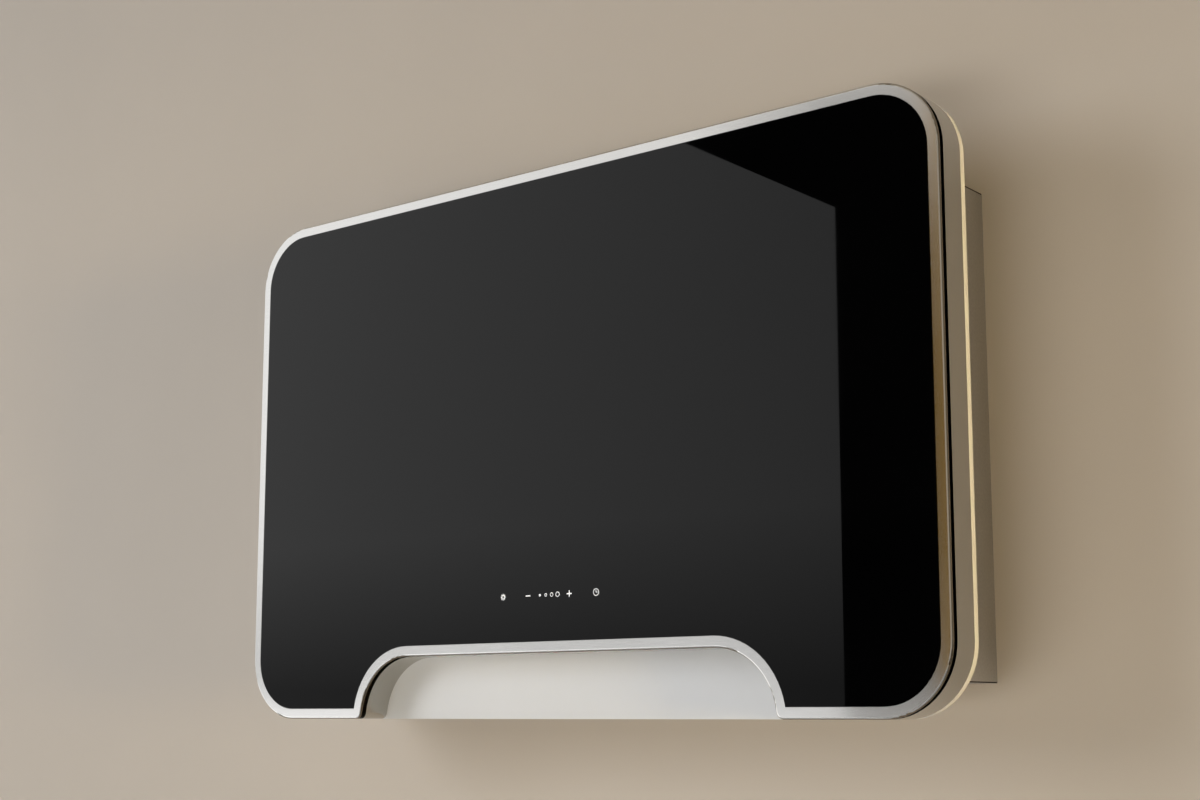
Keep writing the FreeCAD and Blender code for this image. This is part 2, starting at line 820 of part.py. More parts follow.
def grease_filter(side, name):
    """An aluminium frame with its mesh pad, and at its top the guide that the latch slides in."""
    x = filter_centre(side)
    half = s.filter_width / 2
    inner = half - s.filter_bar
    inner_low = filter_low + s.filter_bar
    inner_top = filter_top - s.filter_bar
    frame = cut(block(x - half, x + half, pan_front, filter_front, filter_low, filter_top),
                block(x - inner, x + inner, pan_front - 1, filter_front + 1, inner_low, inner_top))
    rail = s.latch_width / 2 + s.fit_gap
    cap_front = cap_back + s.guide_cap
    rails = [
        block(x + end * rail, x + end * (rail + s.guide_width), filter_front, cap_front,
              inner_top, filter_top)
        for end in (-1, 1)
    ]
    cap = block(x - rail, x + rail, cap_back, cap_front, filter_top - s.guide_cap_height, filter_top)
    keep(joined(frame, *rails, cap), f"filter_frame_{name}")
    mesh = inner - s.fit_gap
    mid = pan_front + s.filter_thick / 2
    pad = block(x - mesh, x + mesh, mid - s.mesh_thick / 2, mid + s.mesh_thick / 2,
                inner_low + s.fit_gap, inner_top - s.fit_gap)
    keep(pad, f"filter_mesh_{name}")
    latch_half = s.latch_width / 2
    plate = block(x - latch_half, x + latch_half, latch_back, latch_front, latch_low, filter_top)
    bolt = block(x - s.latch_bolt_width / 2, x + s.latch_bolt_width / 2, latch_back, latch_front,
                 filter_top, filter_top + s.latch_bolt_reach)
    tab = block(x - latch_half, x + latch_half, latch_front, latch_front + s.latch_tab_reach,
                latch_low, latch_low + s.latch_tab_height)
    keep(joined(plate, bolt, tab), f"filter_latch_{name}")


def filter_keepers():
    """Hooks on the pan: two carry the foot of each filter, and one above it catches the latch."""
    keepers = []
    for side in (-1, 1):
        for end in (-1, 1):
            x = filter_centre(side) + end * s.hook_pitch / 2
            lip_back = filter_front + s.fit_gap
            shelf = block(x - s.hook_width / 2, x + s.hook_width / 2, pan_front, lip_back + s.hook_thick,
                          filter_low - s.hook_thick, filter_low)
            lip = block(x - s.hook_width / 2, x + s.hook_width / 2, lip_back, lip_back + s.hook_thick,
                        filter_low, filter_low + s.hook_lip)
            keepers.append(joined(shelf, lip))
        x = filter_centre(side)
        low = filter_top + s.latch_bolt_reach + s.loose_gap
        roof = block(x - s.hook_width / 2, x + s.hook_width / 2, pan_front, cap_back + s.hook_thick,
                     low, low + s.hook_thick)
        catch = block(x - s.hook_width / 2, x + s.hook_width / 2, cap_back, cap_back + s.hook_thick,
                      filter_top + s.loose_gap, low)
        keepers.append(joined(roof, catch))
    keep(group(*keepers), "filter_keepers")


# Blower

def cover_boss_places():
    """Round the scroll, away from its outlet."""
    reach = s.scroll_radius + s.cover_boss_radius / 2
    count = SIZES["cover_boss_count"]
    for number in range(count):
        angle = math.radians(SIZES["cover_boss_start"] + SIZES["cover_boss_sweep"] * number / (count - 1))
        yield scroll_x + reach * math.cos(angle), scroll_z + reach * math.sin(angle)


def scroll_plan(margin, out0, out1, rise):
    """The round chamber and the straight outlet on its right, drawn in by a margin."""
    chamber = rod_out(scroll_x, scroll_z, s.scroll_radius - margin, out0, out1)
    throat = block(outlet_left + margin, outlet_right - margin, out0, out1, scroll_z, rise)
    return joined(chamber, throat)


motor_back = s.box_wall + s.scroll_wall + s.grommet_height
motor_flange_front = motor_back + s.motor_flange_thick


def motor_screw_places():
    for number in range(4):
        angle = math.radians(45 + 90 * number)
        yield s.motor_screw_circle * math.cos(angle), s.fan_rise + s.motor_screw_circle * math.sin(angle)


def blower_scroll():
    """A flat back on the rear box, and the wall with its screw bosses that stands on it."""
    floor = s.box_wall + s.scroll_wall
    rise = s.scroll_outlet_rise
    places = list(cover_boss_places())
    ears = [rod_out(x, z, s.cover_boss_radius, s.box_wall, floor) for x, z in places]
    motor_holes = [rod_out(x, z, screw_hole, 0, floor + 1) for x, z in motor_screw_places()]
    keep(cut(joined(scroll_plan(0, s.box_wall, floor, rise), *ears), *motor_holes), "blower_back")
    bosses = [rod_out(x, z, s.cover_boss_radius, floor, scroll_front) for x, z in places]
    chamber = scroll_plan(s.scroll_wall, floor - 1, scroll_front + 1, rise + 1)
    boss_holes = [rod_out(x, z, screw_hole, floor - 1, scroll_front + 1) for x, z in places]
    wall = joined(scroll_plan(0, floor, scroll_front, rise), *bosses)
    keep(cut(wall, chamber, *boss_holes), "blower_scroll")


def blower_cover():
    """The scroll's front plate, with ears over its bosses and a collar round the inlet."""
    plate = scroll_plan(0, scroll_front, cover_front, s.scroll_outlet_rise)
    ears = [rod_out(x, z, s.cover_boss_radius, scroll_front, cover_front) for x, z in cover_boss_places()]
    collar = rod_out(0, s.fan_rise, s.inlet_radius + s.inlet_ring_wall, cover_front,
                     cover_front + s.inlet_ring_height)
    inlet = rod_out(0, s.fan_rise, s.inlet_radius, scroll_front - 1, cover_front + s.inlet_ring_height + 1)
    holes = [rod_out(x, z, screw_hole, scroll_front - 1, cover_front + 1) for x, z in cover_boss_places()]
    keep(cut(joined(plate, *ears, collar), inlet, *holes), "blower_cover")
    screws = [screw(x, z, cover_front, s.cover_screw_length) for x, z in cover_boss_places()]
    keep(group(*screws), "cover_screws")


def inlet_guard():
    """Wire rings and a cross on the inlet collar."""
    seat = cover_front + s.inlet_ring_height
    front = seat + s.guard_wire_radius * 2
    outer = s.inlet_radius + s.inlet_ring_wall
    rings = []
    radius = outer
    while radius.value > s.guard_ring_step.value / 2:
        rings.append(tube_out(0, s.fan_rise, radius, radius - s.guard_wire_radius * 2, seat, front))
        radius = radius - s.guard_ring_step
    wire = s.guard_wire_radius
    reach = outer - wire
    spokes = [block(-reach, reach, seat, front, s.fan_rise - wire, s.fan_rise + wire),
              block(-wire, wire, seat, front, s.fan_rise - reach, s.fan_rise + reach)]
    keep(joined(*rings, *spokes), "inlet_guard")


fan_back = s.box_wall + s.scroll_wall + (s.scroll_depth - s.scroll_wall - s.fan_depth) / 2
fan_front = fan_back + s.fan_depth
disc_back = motor_flange_front + s.motor_length + s.wheel_gap
disc_front = disc_back + s.fan_disc_thick


def ring_outline(*radii):
    """Full circles about the fan's axis."""
    def draw(sketch):
        for radius in radii:
            round_line = Part.Circle(FreeCAD.Vector(0, 0, 0), FreeCAD.Vector(0, 0, 1), radius.value)
            circle = sketch.addGeometry(round_line, False)
            tie(sketch, "Radius", circle, None, radius)
            sketch.addConstraint(Sketcher.Constraint("Coincident", circle, 3, -1, 1))
    return draw


def blade_outline(sketch):
    """One forward-curved blade: two arcs about one centre, cut off square at both ends."""
    outer = s.fan_radius - s.fan_ring_width / 2
    inner = outer - s.blade_chord
    middle = (inner + outer) / 2
    drop = root(s.blade_radius * s.blade_radius - s.blade_chord * s.blade_chord / 4)
    centre = (middle.value, -drop.value)
    arcs = []
    for radius in (s.blade_radius, s.blade_radius + s.blade_thick):
        lean = math.degrees(math.acos(s.blade_chord.value / 2 / radius.value))
        arcs.append(add_arc(sketch, centre, radius, lean, 180 - lean)[0])
    low, high = arcs
    tie(sketch, "DistanceX", low, 3, middle)
    tie(sketch, "DistanceY", low, 3, -drop)
    sketch.addConstraint(Sketcher.Constraint("Coincident", low, 3, high, 3))
    for point, level in ((1, outer), (2, inner)):
        tie(sketch, "DistanceX", low, point, level)
        tie(sketch, "DistanceX", high, point, level)
        ends = [sketch.getPoint(arc, point) for arc in arcs]
        line = sketch.addGeometry(Part.LineSegment(*ends), False)
        sketch.addConstraint(Sketcher.Constraint("Coincident", line, 1, low, point))
        sketch.addConstraint(Sketcher.Constraint("Coincident", line, 2, high, point))


def impeller():
    """A double-sided wheel: a middle disc with a hub, forward-curved blades and a ring round each end."""
    wheel = FrontBody("wheel_body")
    wheel.pad(ring_outline(s.fan_radius), disc_back, disc_front)
    blade = wheel.pad(blade_outline, fan_back, fan_front)
    blades = wheel.body.newObject("PartDesign::PolarPattern", "blades")
    blades.Originals = [blade]
    blades.Axis = (blade.Profile[0], ["N_Axis"])
    blades.Angle = 360
    bind(blades, "Occurrences", s.blade_count)
    wheel.body.Tip = blades
    doc.recompute()
    for back in (fan_back, fan_front - s.fan_ring_thick):
        wheel.pad(ring_outline(s.fan_radius, s.fan_radius - s.fan_ring_width), back, back + s.fan_ring_thick)
    wheel.pad(ring_outline(s.hub_radius), disc_front, disc_front + s.hub_length)
    wheel.pocket(ring_outline(s.shaft_radius), disc_front + s.hub_length, disc_back)
    bind(wheel.body, "Placement.Base.z", s.fan_rise)
    keep(wheel.body, "impeller")


def drive():
    """Motor on rubber grommets, with the shaft that carries the wheel."""
    x, z = 0, s.fan_rise
    case = joined(rod_out(x, z, s.motor_flange_radius, motor_back, motor_flange_front),
                  rod_out(x, z, s.motor_radius, motor_flange_front, motor_flange_front + s.motor_length))
    bore = rod_out(x, z, s.shaft_radius + s.running_gap, motor_flange_front, disc_back)
    corners = list(motor_screw_places())
    holes = [rod_out(*corner, screw_hole, motor_back - 1, motor_flange_front + 1) for corner in corners]
    keep(cut(case, bore, *holes), "motor_body")
    shaft = rod_out(x, z, s.shaft_radius, motor_flange_front + s.loose_gap, disc_front + s.hub_length)
    keep(shaft, "motor_shaft")
    grommets = [tube_out(*corner, s.grommet_radius, screw_hole, motor_back - s.grommet_height, motor_back)
                for corner in corners]
    keep(group(*grommets), "motor_grommets")
    reach = motor_flange_front - s.box_wall
    keep(group(*[screw(*corner, motor_flange_front, reach) for corner in corners]), "motor_screws")


def outlet_parts():
    """A duct from the scroll to the box's top, its charcoal filter, and the grille above it."""
    inner_top = box_top - s.box_wall
    wall = s.scroll_wall
    sleeve = block(outlet_left, outlet_right, duct_back, cover_front, s.scroll_outlet_rise, inner_top)
    passage = block(outlet_left + wall, outlet_right - wall, duct_back + wall, scroll_front,
                    s.scroll_outlet_rise - 1, inner_top + 1)
    keep(cut(sleeve, passage), "outlet_duct")
    gap = s.loose_gap
    charcoal = block(outlet_left + wall + gap, outlet_right - wall - gap,
                     duct_back + wall + gap, scroll_front - gap, inner_top - s.charcoal_height, inner_top)
    keep(charcoal, "charcoal_filter")
    left, right = outlet_left - s.grille_margin, outlet_right + s.grille_margin
    front = scroll_front + s.grille_margin
    grille_top = box_top + s.grille_thick
    pitch = (s.outlet_width - wall * 2) / s.grille_slot_count
    slots = []
    for number in range(SIZES["grille_slot_count"]):
        x = outlet_left + wall + pitch * (number + 0.5)
        slots.append(block(x - s.grille_slot_width / 2, x + s.grille_slot_width / 2,
                           duct_back + wall, scroll_front, box_top - 1, grille_top + 1))
    keep(cut(block(left, right, s.box_wall, front, box_top, grille_top), *slots), "outlet_grille")


def cable_gland():
    inner_top = box_top - s.box_wall
    x, out = box_half - s.gland_inset, s.gland_out
    head = rod_up(x, out, s.gland_head_radius, box_top, box_top + s.gland_head_height)
    thread = rod_up(x, out, s.gland_thread_radius, inner_top - s.gland_nut_height, box_top)
    nut = rod_up(x, out, s.gland_head_radius, inner_top - s.gland_nut_height, inner_top)
    bore = rod_up(x, out, s.gland_bore_radius,
                  inner_top - s.gland_nut_height - 1, box_top + s.gland_head_height + 1)
    keep(cut(joined(head, thread, nut), bore), "cable_gland")


# Electronics

def control_unit():
    """A plastic case on the box's back, with its board on standoffs, terminals and lid."""
    x, z = box_half - s.control_inset, s.control_rise - box_top
    half, rise = s.control_width / 2, s.control_height / 2
    back, front = s.box_wall, s.box_wall + s.control_depth
    wall = s.control_wall
    case = block(x - half, x + half, back, front, z - rise, z + rise)
    hollow = block(x - half + wall, x + half - wall, back + wall, front + 1, z - rise + wall, z + rise - wall)
    seat = back + wall + s.standoff_height
    posts = [
        rod_out(x + side * (half - s.standoff_inset), z + lift * (rise - s.standoff_inset), s.standoff_radius,
                back + wall, seat)
        for side in (-1, 1) for lift in (-1, 1)
    ]
    keep(joined(cut(case, hollow), *posts), "control_box")
    margin = wall + s.loose_gap
    face = seat + s.board_thick
    board = block(x - half + margin, x + half - margin, seat, face, z - rise + margin, z + rise - margin)
    keep(board, "control_board")
    step = s.relay_pitch
    transformer = block(x - step - s.transformer_size, x - step, face, face + s.transformer_depth,
                        z - s.transformer_size, z)
    relays = [block(x + step * place, x + step * place + s.relay_width, face, face + s.relay_depth,
                    z + step / 2, z + step / 2 + s.relay_height) for place in (-0.5, 0.5, 1.5)]
    capacitor = rod_out(x + step, z - step / 2, s.capacitor_radius, face, face + s.capacitor_depth)
    keep(group(transformer, *relays, capacitor), "board_components")
    low = z - rise + s.standoff_inset
    terminals = block(x - s.terminal_width / 2, x + s.terminal_width / 2, face, face + s.terminal_height,
                      low, low + s.terminal_height)
    ways = [rod_out(x + s.terminal_pitch * place, low + s.terminal_height / 2, s.screw_radius,
                    face + s.terminal_height / 2, face + s.terminal_height + 1)
            for place in (-1.5, -0.5, 0.5, 1.5)]
    keep(cut(terminals, *ways), "terminal_block")
    keep(block(x - half, x + half, front, front + wall, z - rise, z + rise), "control_lid")


def lamp_driver():
    x, z = s.driver_inset - box_half, s.driver_rise - box_top
    half, rise = s.driver_width / 2, s.driver_height / 2
    case = block(x - half, x + half, s.box_wall, s.box_wall + s.driver_depth, z - rise, z + rise)
    keep(case, "lamp_driver")


def lamp():
    """A light bar in the top of the mouth: an opal strip in the window, a board and a housing."""
    gap = s.fit_gap
    half_deep = s.lamp_width / 2
    strip = block(gap - lamp_half, lamp_half - gap, lamp_out - half_deep + gap, lamp_out + half_deep - gap,
                  mouth_top, lamp_low)
    flange_half = lamp_half + s.lamp_flange
    flange_deep = half_deep + s.lamp_flange
    flange = block(-flange_half, flange_half, lamp_out - flange_deep, lamp_out + flange_deep,
                   lamp_low, lamp_flange_top)
    keep(joined(strip, flange), "lamp_diffuser")
    case = block(-flange_half, flange_half, lamp_out - flange_deep, lamp_out + flange_deep,
                 lamp_flange_top, lamp_roof)
    inner_half = flange_half - s.lamp_wall
    inner_deep = flange_deep - s.lamp_wall
    hollow = block(-inner_half, inner_half, lamp_out - inner_deep, lamp_out + inner_deep,
                   lamp_flange_top - 1, lamp_roof - s.lamp_wall)
    keep(cut(case, hollow), "lamp_housing")
    board_top = lamp_roof - s.lamp_wall
    board = block(gap - inner_half, inner_half - gap,
                  lamp_out - inner_deep + gap, lamp_out + inner_deep - gap,
                  board_top - s.board_thick, board_top)
    keep(board, "lamp_board")


def hinge_studs():
    """Studs on the panel's backing, each with the nut that holds the hinge leaf."""
    leaf_back = backing_back - s.leaf_thick
    studs = []
    for x, z in [place for centre in hinge_centres for place in leaf_stud_places(centre)]:
        nut = rod_out(x, z, s.screw_head_radius, leaf_back - s.screw_head_height, leaf_back)
        studs.append(joined(nut, rod_out(x, z, s.screw_radius, leaf_back, backing_back)))
    keep(group(*studs), "hinge_studs")


for build in (front_glass, front_rim, panel_backing, panel_ribs, touch_control, hinge_leaves, hinge_brackets,
              hinge_pins, hinge_studs, magnet_catches, panel_buffers, front_shell, back_pan, shell_brackets,
              rear_box, pan_screws, filter_keepers, blower_scroll, blower_cover, inlet_guard, impeller,
              drive, outlet_parts, cable_gland, control_unit, lamp_driver, lamp):
    build()
for side, name in ((-1, "left"), (1, "right")):
    grease_filter(side, name)
doc.recompute()

for thing in doc.Objects:
    if {"Invalid", "Error"} & set(thing.State):
        raise ValueError(f"{thing.Label} failed: {thing.State}")
for name, thing in pieces.items():
    if thing.Shape.isNull() or not thing.Shape.isValid() or not thing.Shape.Solids:
        raise ValueError(f"{name} has no valid solid")
os.makedirs("parts", exist_ok=True)
for name, thing in sorted(pieces.items()):
    thing.Shape.exportStep(os.path.join("parts", f"{name}.step"))
    box = thing.Shape.BoundBox
    print(f"{name}: {len(thing.Shape.Solids)} solids, {thing.Shape.Volume / 1000:.1f} cm3,"
          f" X {box.XMin:.1f} to {box.XMax:.1f}, Y {box.YMin:.1f} to {box.YMax:.1f},"
          f" Z {box.ZMin:.1f} to {box.ZMax:.1f}")
print(len(pieces), "sub-parts")
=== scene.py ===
# %% [markdown]
# # A wall mount range hood
# The hood is a wide black glass panel in a bright steel rim, with an arched notch at its foot. It hangs on a wall by a
# shallow steel box that holds the fan. The solids of all its parts come in ready made, in metres, with the wall at
# Y = 0 and the front facing -Y. This lesson gives them their finishes, adds the printed touch symbols and the expanded
# mesh of the grease filters, and lights the hood as it hangs on a pale wall.

# %% Load the solids
import json
import math

import bmesh
import bpy
from mathutils import Matrix, Vector


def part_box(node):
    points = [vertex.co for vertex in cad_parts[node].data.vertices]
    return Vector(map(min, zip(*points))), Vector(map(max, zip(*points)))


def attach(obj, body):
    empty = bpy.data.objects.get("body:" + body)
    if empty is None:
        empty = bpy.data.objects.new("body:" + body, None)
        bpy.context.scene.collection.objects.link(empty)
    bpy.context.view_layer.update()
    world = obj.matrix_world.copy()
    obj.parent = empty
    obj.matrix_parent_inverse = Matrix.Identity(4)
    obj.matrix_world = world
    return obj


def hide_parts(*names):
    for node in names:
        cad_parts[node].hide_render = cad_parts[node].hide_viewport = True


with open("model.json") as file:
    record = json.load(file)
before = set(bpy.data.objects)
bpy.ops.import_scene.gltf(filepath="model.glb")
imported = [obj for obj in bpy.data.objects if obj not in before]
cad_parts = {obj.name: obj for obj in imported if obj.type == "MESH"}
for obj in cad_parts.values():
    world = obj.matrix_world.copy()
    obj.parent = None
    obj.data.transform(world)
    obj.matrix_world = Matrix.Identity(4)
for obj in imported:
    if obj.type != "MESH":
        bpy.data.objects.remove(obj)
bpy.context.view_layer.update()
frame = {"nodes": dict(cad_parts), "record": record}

# %% [markdown]
# ## The camera
# The picture was taken from low on the right, about two metres away and level with the foot of the hood. A camera that
# only tilts up would make the upright edges lean in. Part of the rise is therefore a lens shift, which moves the
# picture on the sensor and keeps uprights upright, and the rest is a small tilt.

# %% Camera
lens = bpy.data.cameras.new("hood_camera")
lens.lens = 52.63
lens.sensor_width = 36.0
lens.shift_y = 0.05
camera = bpy.data.objects.new("hood_camera", lens)
camera.location = (1.1509, -1.5026, -0.2624)
camera.rotation_euler = (math.radians(98.279), 0.0, math.radians(38.719))
bpy.context.scene.collection.objects.link(camera)
bpy.context.scene.camera = camera
print("camera at", tuple(camera.location))

# %% [markdown]
# ## Starting a finish
# Every finish is a small graph of shader nodes on Object coordinates, so its grain has a real size in metres and stays
# on the piece from any side. These helpers only save typing: each adds a node or two, and takes either plain values or
# the outputs of other nodes.


# %% Node helpers
def add(tree, kind, inputs=None, **settings):
    """Add one shader node. An input is a plain value or another node's output."""
    made = tree.nodes.new("ShaderNode" + kind)
    for name, value in settings.items():
        setattr(made, name, value)
    for name, value in (inputs or {}).items():
        if isinstance(value, bpy.types.NodeSocket):
            tree.links.new(value, made.inputs[name])
        else:
            made.inputs[name].default_value = value
    return made


def object_place(tree):
    return add(tree, "TexCoord").outputs["Object"]


def finish(name):
    """Start a finish: the material, its node tree, its shader and its Object coordinates."""
    material = bpy.data.materials.new(name)
    material.use_nodes = True
    tree = material.node_tree
    return material, tree, tree.nodes["Principled BSDF"], object_place(tree)


def drive(tree, shader, **patterns):
    """Connect patterns to the shader's inputs, with _ for a space in an input's name."""
    for name, output in patterns.items():
        tree.links.new(output, shader.inputs[name.replace("_", " ")])


print("node helpers ready")

# %% [markdown]
# ## Patterns
# A pattern is a number that changes over the surface. Most start as noise, stretched so that it gets a size and a
# direction. The same number then sets the colour, the roughness and a slight bump, so that all three change together,
# as they do on a real surface.


# %% Pattern helpers
def numbers(tree, operation, first, second=0.0):
    return add(tree, "Math", {0: first, 1: second}, operation=operation).outputs[0]


def axes(tree, place):
    """The X, Y and Z of a place, one by one."""
    return add(tree, "SeparateXYZ", {"Vector": place}).outputs


def stretched(tree, place, scale, turn=(0.0, 0.0, 0.0)):
    """Object coordinates, stretched so that a pattern gets its size and direction."""
    return add(tree, "Mapping", {"Vector": place, "Scale": scale, "Rotation": turn}).outputs["Vector"]


def noise(tree, place, scale, detail=2.0):
    return add(tree, "TexNoise", {"Vector": place, "Scale": scale, "Detail": detail}).outputs["Fac"]


def between(tree, value, low, high, start=0.3, end=0.7):
    """Spread a pattern's values over the range that a finish needs."""
    inputs = {"Value": value, "From Min": start, "From Max": end, "To Min": low, "To Max": high}
    return add(tree, "MapRange", inputs).outputs["Result"]


def tinted(tree, value, dark, light, start=0.3, end=0.7):
    """A colour that moves from dark to light with a pattern."""
    ramp = add(tree, "ValToRGB", {"Fac": value})
    for stop, position, colour in zip(ramp.color_ramp.elements, (start, end), (dark, light)):
        stop.position = position
        stop.color = (*colour, 1.0)
    return ramp.outputs["Color"]


def bump(tree, shader, height, depth, strength=1.0):
    """Raise the surface by a pattern, depth metres high."""
    made = add(tree, "Bump", {"Height": height, "Distance": depth, "Strength": strength})
    tree.links.new(made.outputs["Normal"], shader.inputs["Normal"])


print("pattern helpers ready")

# %% [markdown]
# ## Black glass
# The front is toughened glass, printed black on its back. A clear slab over a black sheet would look the same from
# outside, so one opaque shader is enough. Almost all that shows is what the glass mirrors, so its roughness matters
# more than its colour. It is nearly nothing, with faint wide smears where it was wiped, as on any real pane.


# %% Black glass
def black_glass():
    material, tree, shader, place = finish("black_glass")
    wiped = noise(tree, stretched(tree, place, (5.0, 5.0, 11.0)), 1.0, 3.0)
    drive(tree, shader,
          Base_Color=tinted(tree, wiped, (0.0006, 0.0006, 0.0007), (0.0010, 0.0010, 0.0011)),
          Roughness=between(tree, wiped, 0.006, 0.02))
    shader.inputs["IOR"].default_value = 1.44
    return material


finishes = {"black_glass": black_glass()}
print("black glass done")

# %% [markdown]
# ## Brushed steel of the rim and the shell
# The rim is cut from one sheet of bright steel that was brushed from side to side. Brushing leaves fine parallel lines,
# so light spreads up and down across the lines but stays sharp along them. The shader's Anisotropic value does this
# when its Tangent points across the lines, which is upright here. The Tangent leans back a little, because one that
# points straight out of a level face gives that face no direction. Noise that is stretched along X draws the lines.

# %% Brushed steel
ACROSS_LINES = (0.0, 0.2, 1.0)


def brushed_steel(name, dark, light):
    material, tree, shader, place = finish(name)
    lines = noise(tree, stretched(tree, place, (40.0, 2400.0, 2400.0)), 1.0, 3.0)
    worn = noise(tree, place, 11.0, 3.0)
    upright = add(tree, "VectorTransform", {"Vector": ACROSS_LINES}, vector_type="VECTOR",
                  convert_from="OBJECT", convert_to="WORLD")
    drive(tree, shader,
          Base_Color=tinted(tree, lines, dark, light),
          Roughness=numbers(tree, "ADD", between(tree, lines, 0.108, 0.123), between(tree, worn, 0.0, 0.015)),
          Tangent=upright.outputs["Vector"])
    shader.inputs["Metallic"].default_value = 1.0
    shader.inputs["Anisotropic"].default_value = 0.97
    return material


bright_rim = brushed_steel("bright_rim", (0.88, 0.87, 0.85), (0.94, 0.93, 0.91))
shell_steel = brushed_steel("shell_steel", (0.50, 0.485, 0.45), (0.56, 0.545, 0.51))
print("brushed steel done")

# %% [markdown]
# ## Painted shade on the rim's edges
# Only the front of the rim is brushed bright. Its rounded edges and its sides are painted dark brown, as painted shade
# for the narrow gap beside the rim, so that a dark line of shade runs beside it. A second material would need the faces
# to be picked out by hand. The depth behind the front tells the edges apart as well, so one material takes the painted
# shade wherever Y is past the front.

# %% Rim with painted shade on its edges
# Painted shade: dark brown on the rim's edges and sides, for the shade of the gap beside the rim
RIM_GAP_SHADE = (0.26, 0.22, 0.17, 1.0)
BRUSHED_DEPTH = 0.0005


def shade_where(material, chosen, colour):
    """Give a material another colour where a pattern is 1."""
    tree = material.node_tree
    shader = tree.nodes["Principled BSDF"]
    usual = shader.inputs["Base Color"].links[0].from_socket
    mixed = add(tree, "MixRGB", {"Fac": chosen, "Color1": usual, "Color2": colour})
    drive(tree, shader, Base_Color=mixed.outputs["Color"])
    return material


# Paints the shade of the gap on every part of the rim that lies behind its brushed front
def paint_rim_gap_shade(material, front):
    tree = material.node_tree
    depth = axes(tree, object_place(tree))["Y"]
    return shade_where(material, numbers(tree, "GREATER_THAN", depth, front + BRUSHED_DEPTH), RIM_GAP_SHADE)


rim_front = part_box("front_rim")[0].y
own_finish = {"front_rim": paint_rim_gap_shade(bright_rim, rim_front), "front_shell": shell_steel}
print("rim is bright from Y =", round(rim_front, 4), "to", round(rim_front + BRUSHED_DEPTH, 4))

# %% [markdown]
# ## Sheet metal
# The rear box is plain rolled sheet, the brackets are zinc plated, and the filters are bare aluminium. They are metals
# with a wide soft gloss, and differ in their grain: rolled sheet has faint lines one way, zinc has the patches of its
# crystals, and aluminium has short scratches. Turned shafts and the nickel of the magnets are smoother.

# %% Plain sheet, zinc and aluminium
GRAIN_DEPTH = 0.00002


def metal(name, dark, light, pattern_scale, roughness):
    material, tree, shader, place = finish(name)
    grain = noise(tree, stretched(tree, place, pattern_scale), 1.0, 3.0)
    drive(tree, shader,
          Base_Color=tinted(tree, grain, dark, light),
          Roughness=between(tree, grain, *roughness))
    shader.inputs["Metallic"].default_value = 1.0
    bump(tree, shader, grain, GRAIN_DEPTH)
    return material


def rolled_sheet(name):
    return metal(name, dark=(0.55, 0.55, 0.55), light=(0.64, 0.64, 0.63),
                 pattern_scale=(12.0, 400.0, 400.0), roughness=(0.30, 0.42))


def zinc_plate():
    material, tree, shader, place = finish("zinc_plate")
    crystals = add(tree, "TexVoronoi", {"Vector": place, "Scale": 140.0}).outputs["Color"]
    patches = add(tree, "RGBToBW", {"Color": crystals}).outputs["Val"]
    drive(tree, shader,
          Base_Color=tinted(tree, patches, (0.55, 0.57, 0.58), (0.72, 0.72, 0.69), 0.1, 0.9),
          Roughness=between(tree, patches, 0.30, 0.46, 0.1, 0.9))
    shader.inputs["Metallic"].default_value = 1.0
    return material


finishes["plain_steel"] = rolled_sheet("rolled_sheet")
finishes["zinc_steel"] = zinc_plate()
finishes["filter_aluminium"] = metal("filter_aluminium", dark=(0.70, 0.71, 0.72), light=(0.80, 0.81, 0.82),
                                     pattern_scale=(90.0, 300.0, 900.0), roughness=(0.28, 0.44))
finishes["polished_steel"] = metal("turned_steel", dark=(0.72, 0.72, 0.71), light=(0.80, 0.80, 0.79),
                                   pattern_scale=(900.0, 900.0, 60.0), roughness=(0.12, 0.22))
finishes["magnet_nickel"] = metal("magnet_nickel", dark=(0.66, 0.64, 0.60), light=(0.74, 0.72, 0.68),
                                  pattern_scale=(500.0, 500.0, 500.0), roughness=(0.16, 0.28))
print("sheet metals done")

# %% [markdown]
# ## Painted shade at the ends of the box
# The ends of the box's top and bottom sheets get a painted shade, a near black band for the shade in the narrow gap
# where they meet the box's sides. From the side this is a thin dark line along the box's upper and lower edge. It is
# made as on the rim, with the distance from the middle instead of the depth.

# %% Painted shade at the box's ends
# Painted shade: near black along the sheet ends, for the shade of the gap beside the box's sides
BOX_GAP_SHADE = (0.035, 0.025, 0.018, 1.0)
GAP_SHADE_WIDTH = 0.0003


def paint_box_gap_shade(material, half_width):
    tree = material.node_tree
    aside = numbers(tree, "ABSOLUTE", axes(tree, object_place(tree))["X"])
    return shade_where(material, numbers(tree, "GREATER_THAN", aside, half_width - GAP_SHADE_WIDTH), BOX_GAP_SHADE)


box_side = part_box("box_top")[1].x
gap_shaded_sheet = paint_box_gap_shade(rolled_sheet("gap_shaded_sheet"), box_side)
own_finish["box_top"] = gap_shaded_sheet
own_finish["box_bottom"] = gap_shaded_sheet
# The ends printed here are where the painted shade of the gap begins on each side
print("burnt ends at X =", round(-box_side, 4), "and", round(box_side, 4))

# %% [markdown]
# ## Pale enamel
# The back of the tray, seen through the notch, is coated in a pale satin enamel. Sprayed coats dry with a very fine
# waviness, which is what makes a highlight on them look soft and slightly broken. A fine bump gives that waviness, and
# a thin Coat gives the clear film on top.


# %% Enamel
def pale_enamel():
    material, tree, shader, place = finish("pale_enamel")
    cloud = noise(tree, place, 7.0, 4.0)
    drive(tree, shader,
          Base_Color=tinted(tree, cloud, (0.785, 0.78, 0.77), (0.82, 0.815, 0.805)),
          Roughness=between(tree, cloud, 0.30, 0.38))
    bump(tree, shader, noise(tree, place, 700.0, 1.0), 0.00003, 0.5)
    shader.inputs["Coat Weight"].default_value = 0.15
    shader.inputs["Coat Roughness"].default_value = 0.2
    return material


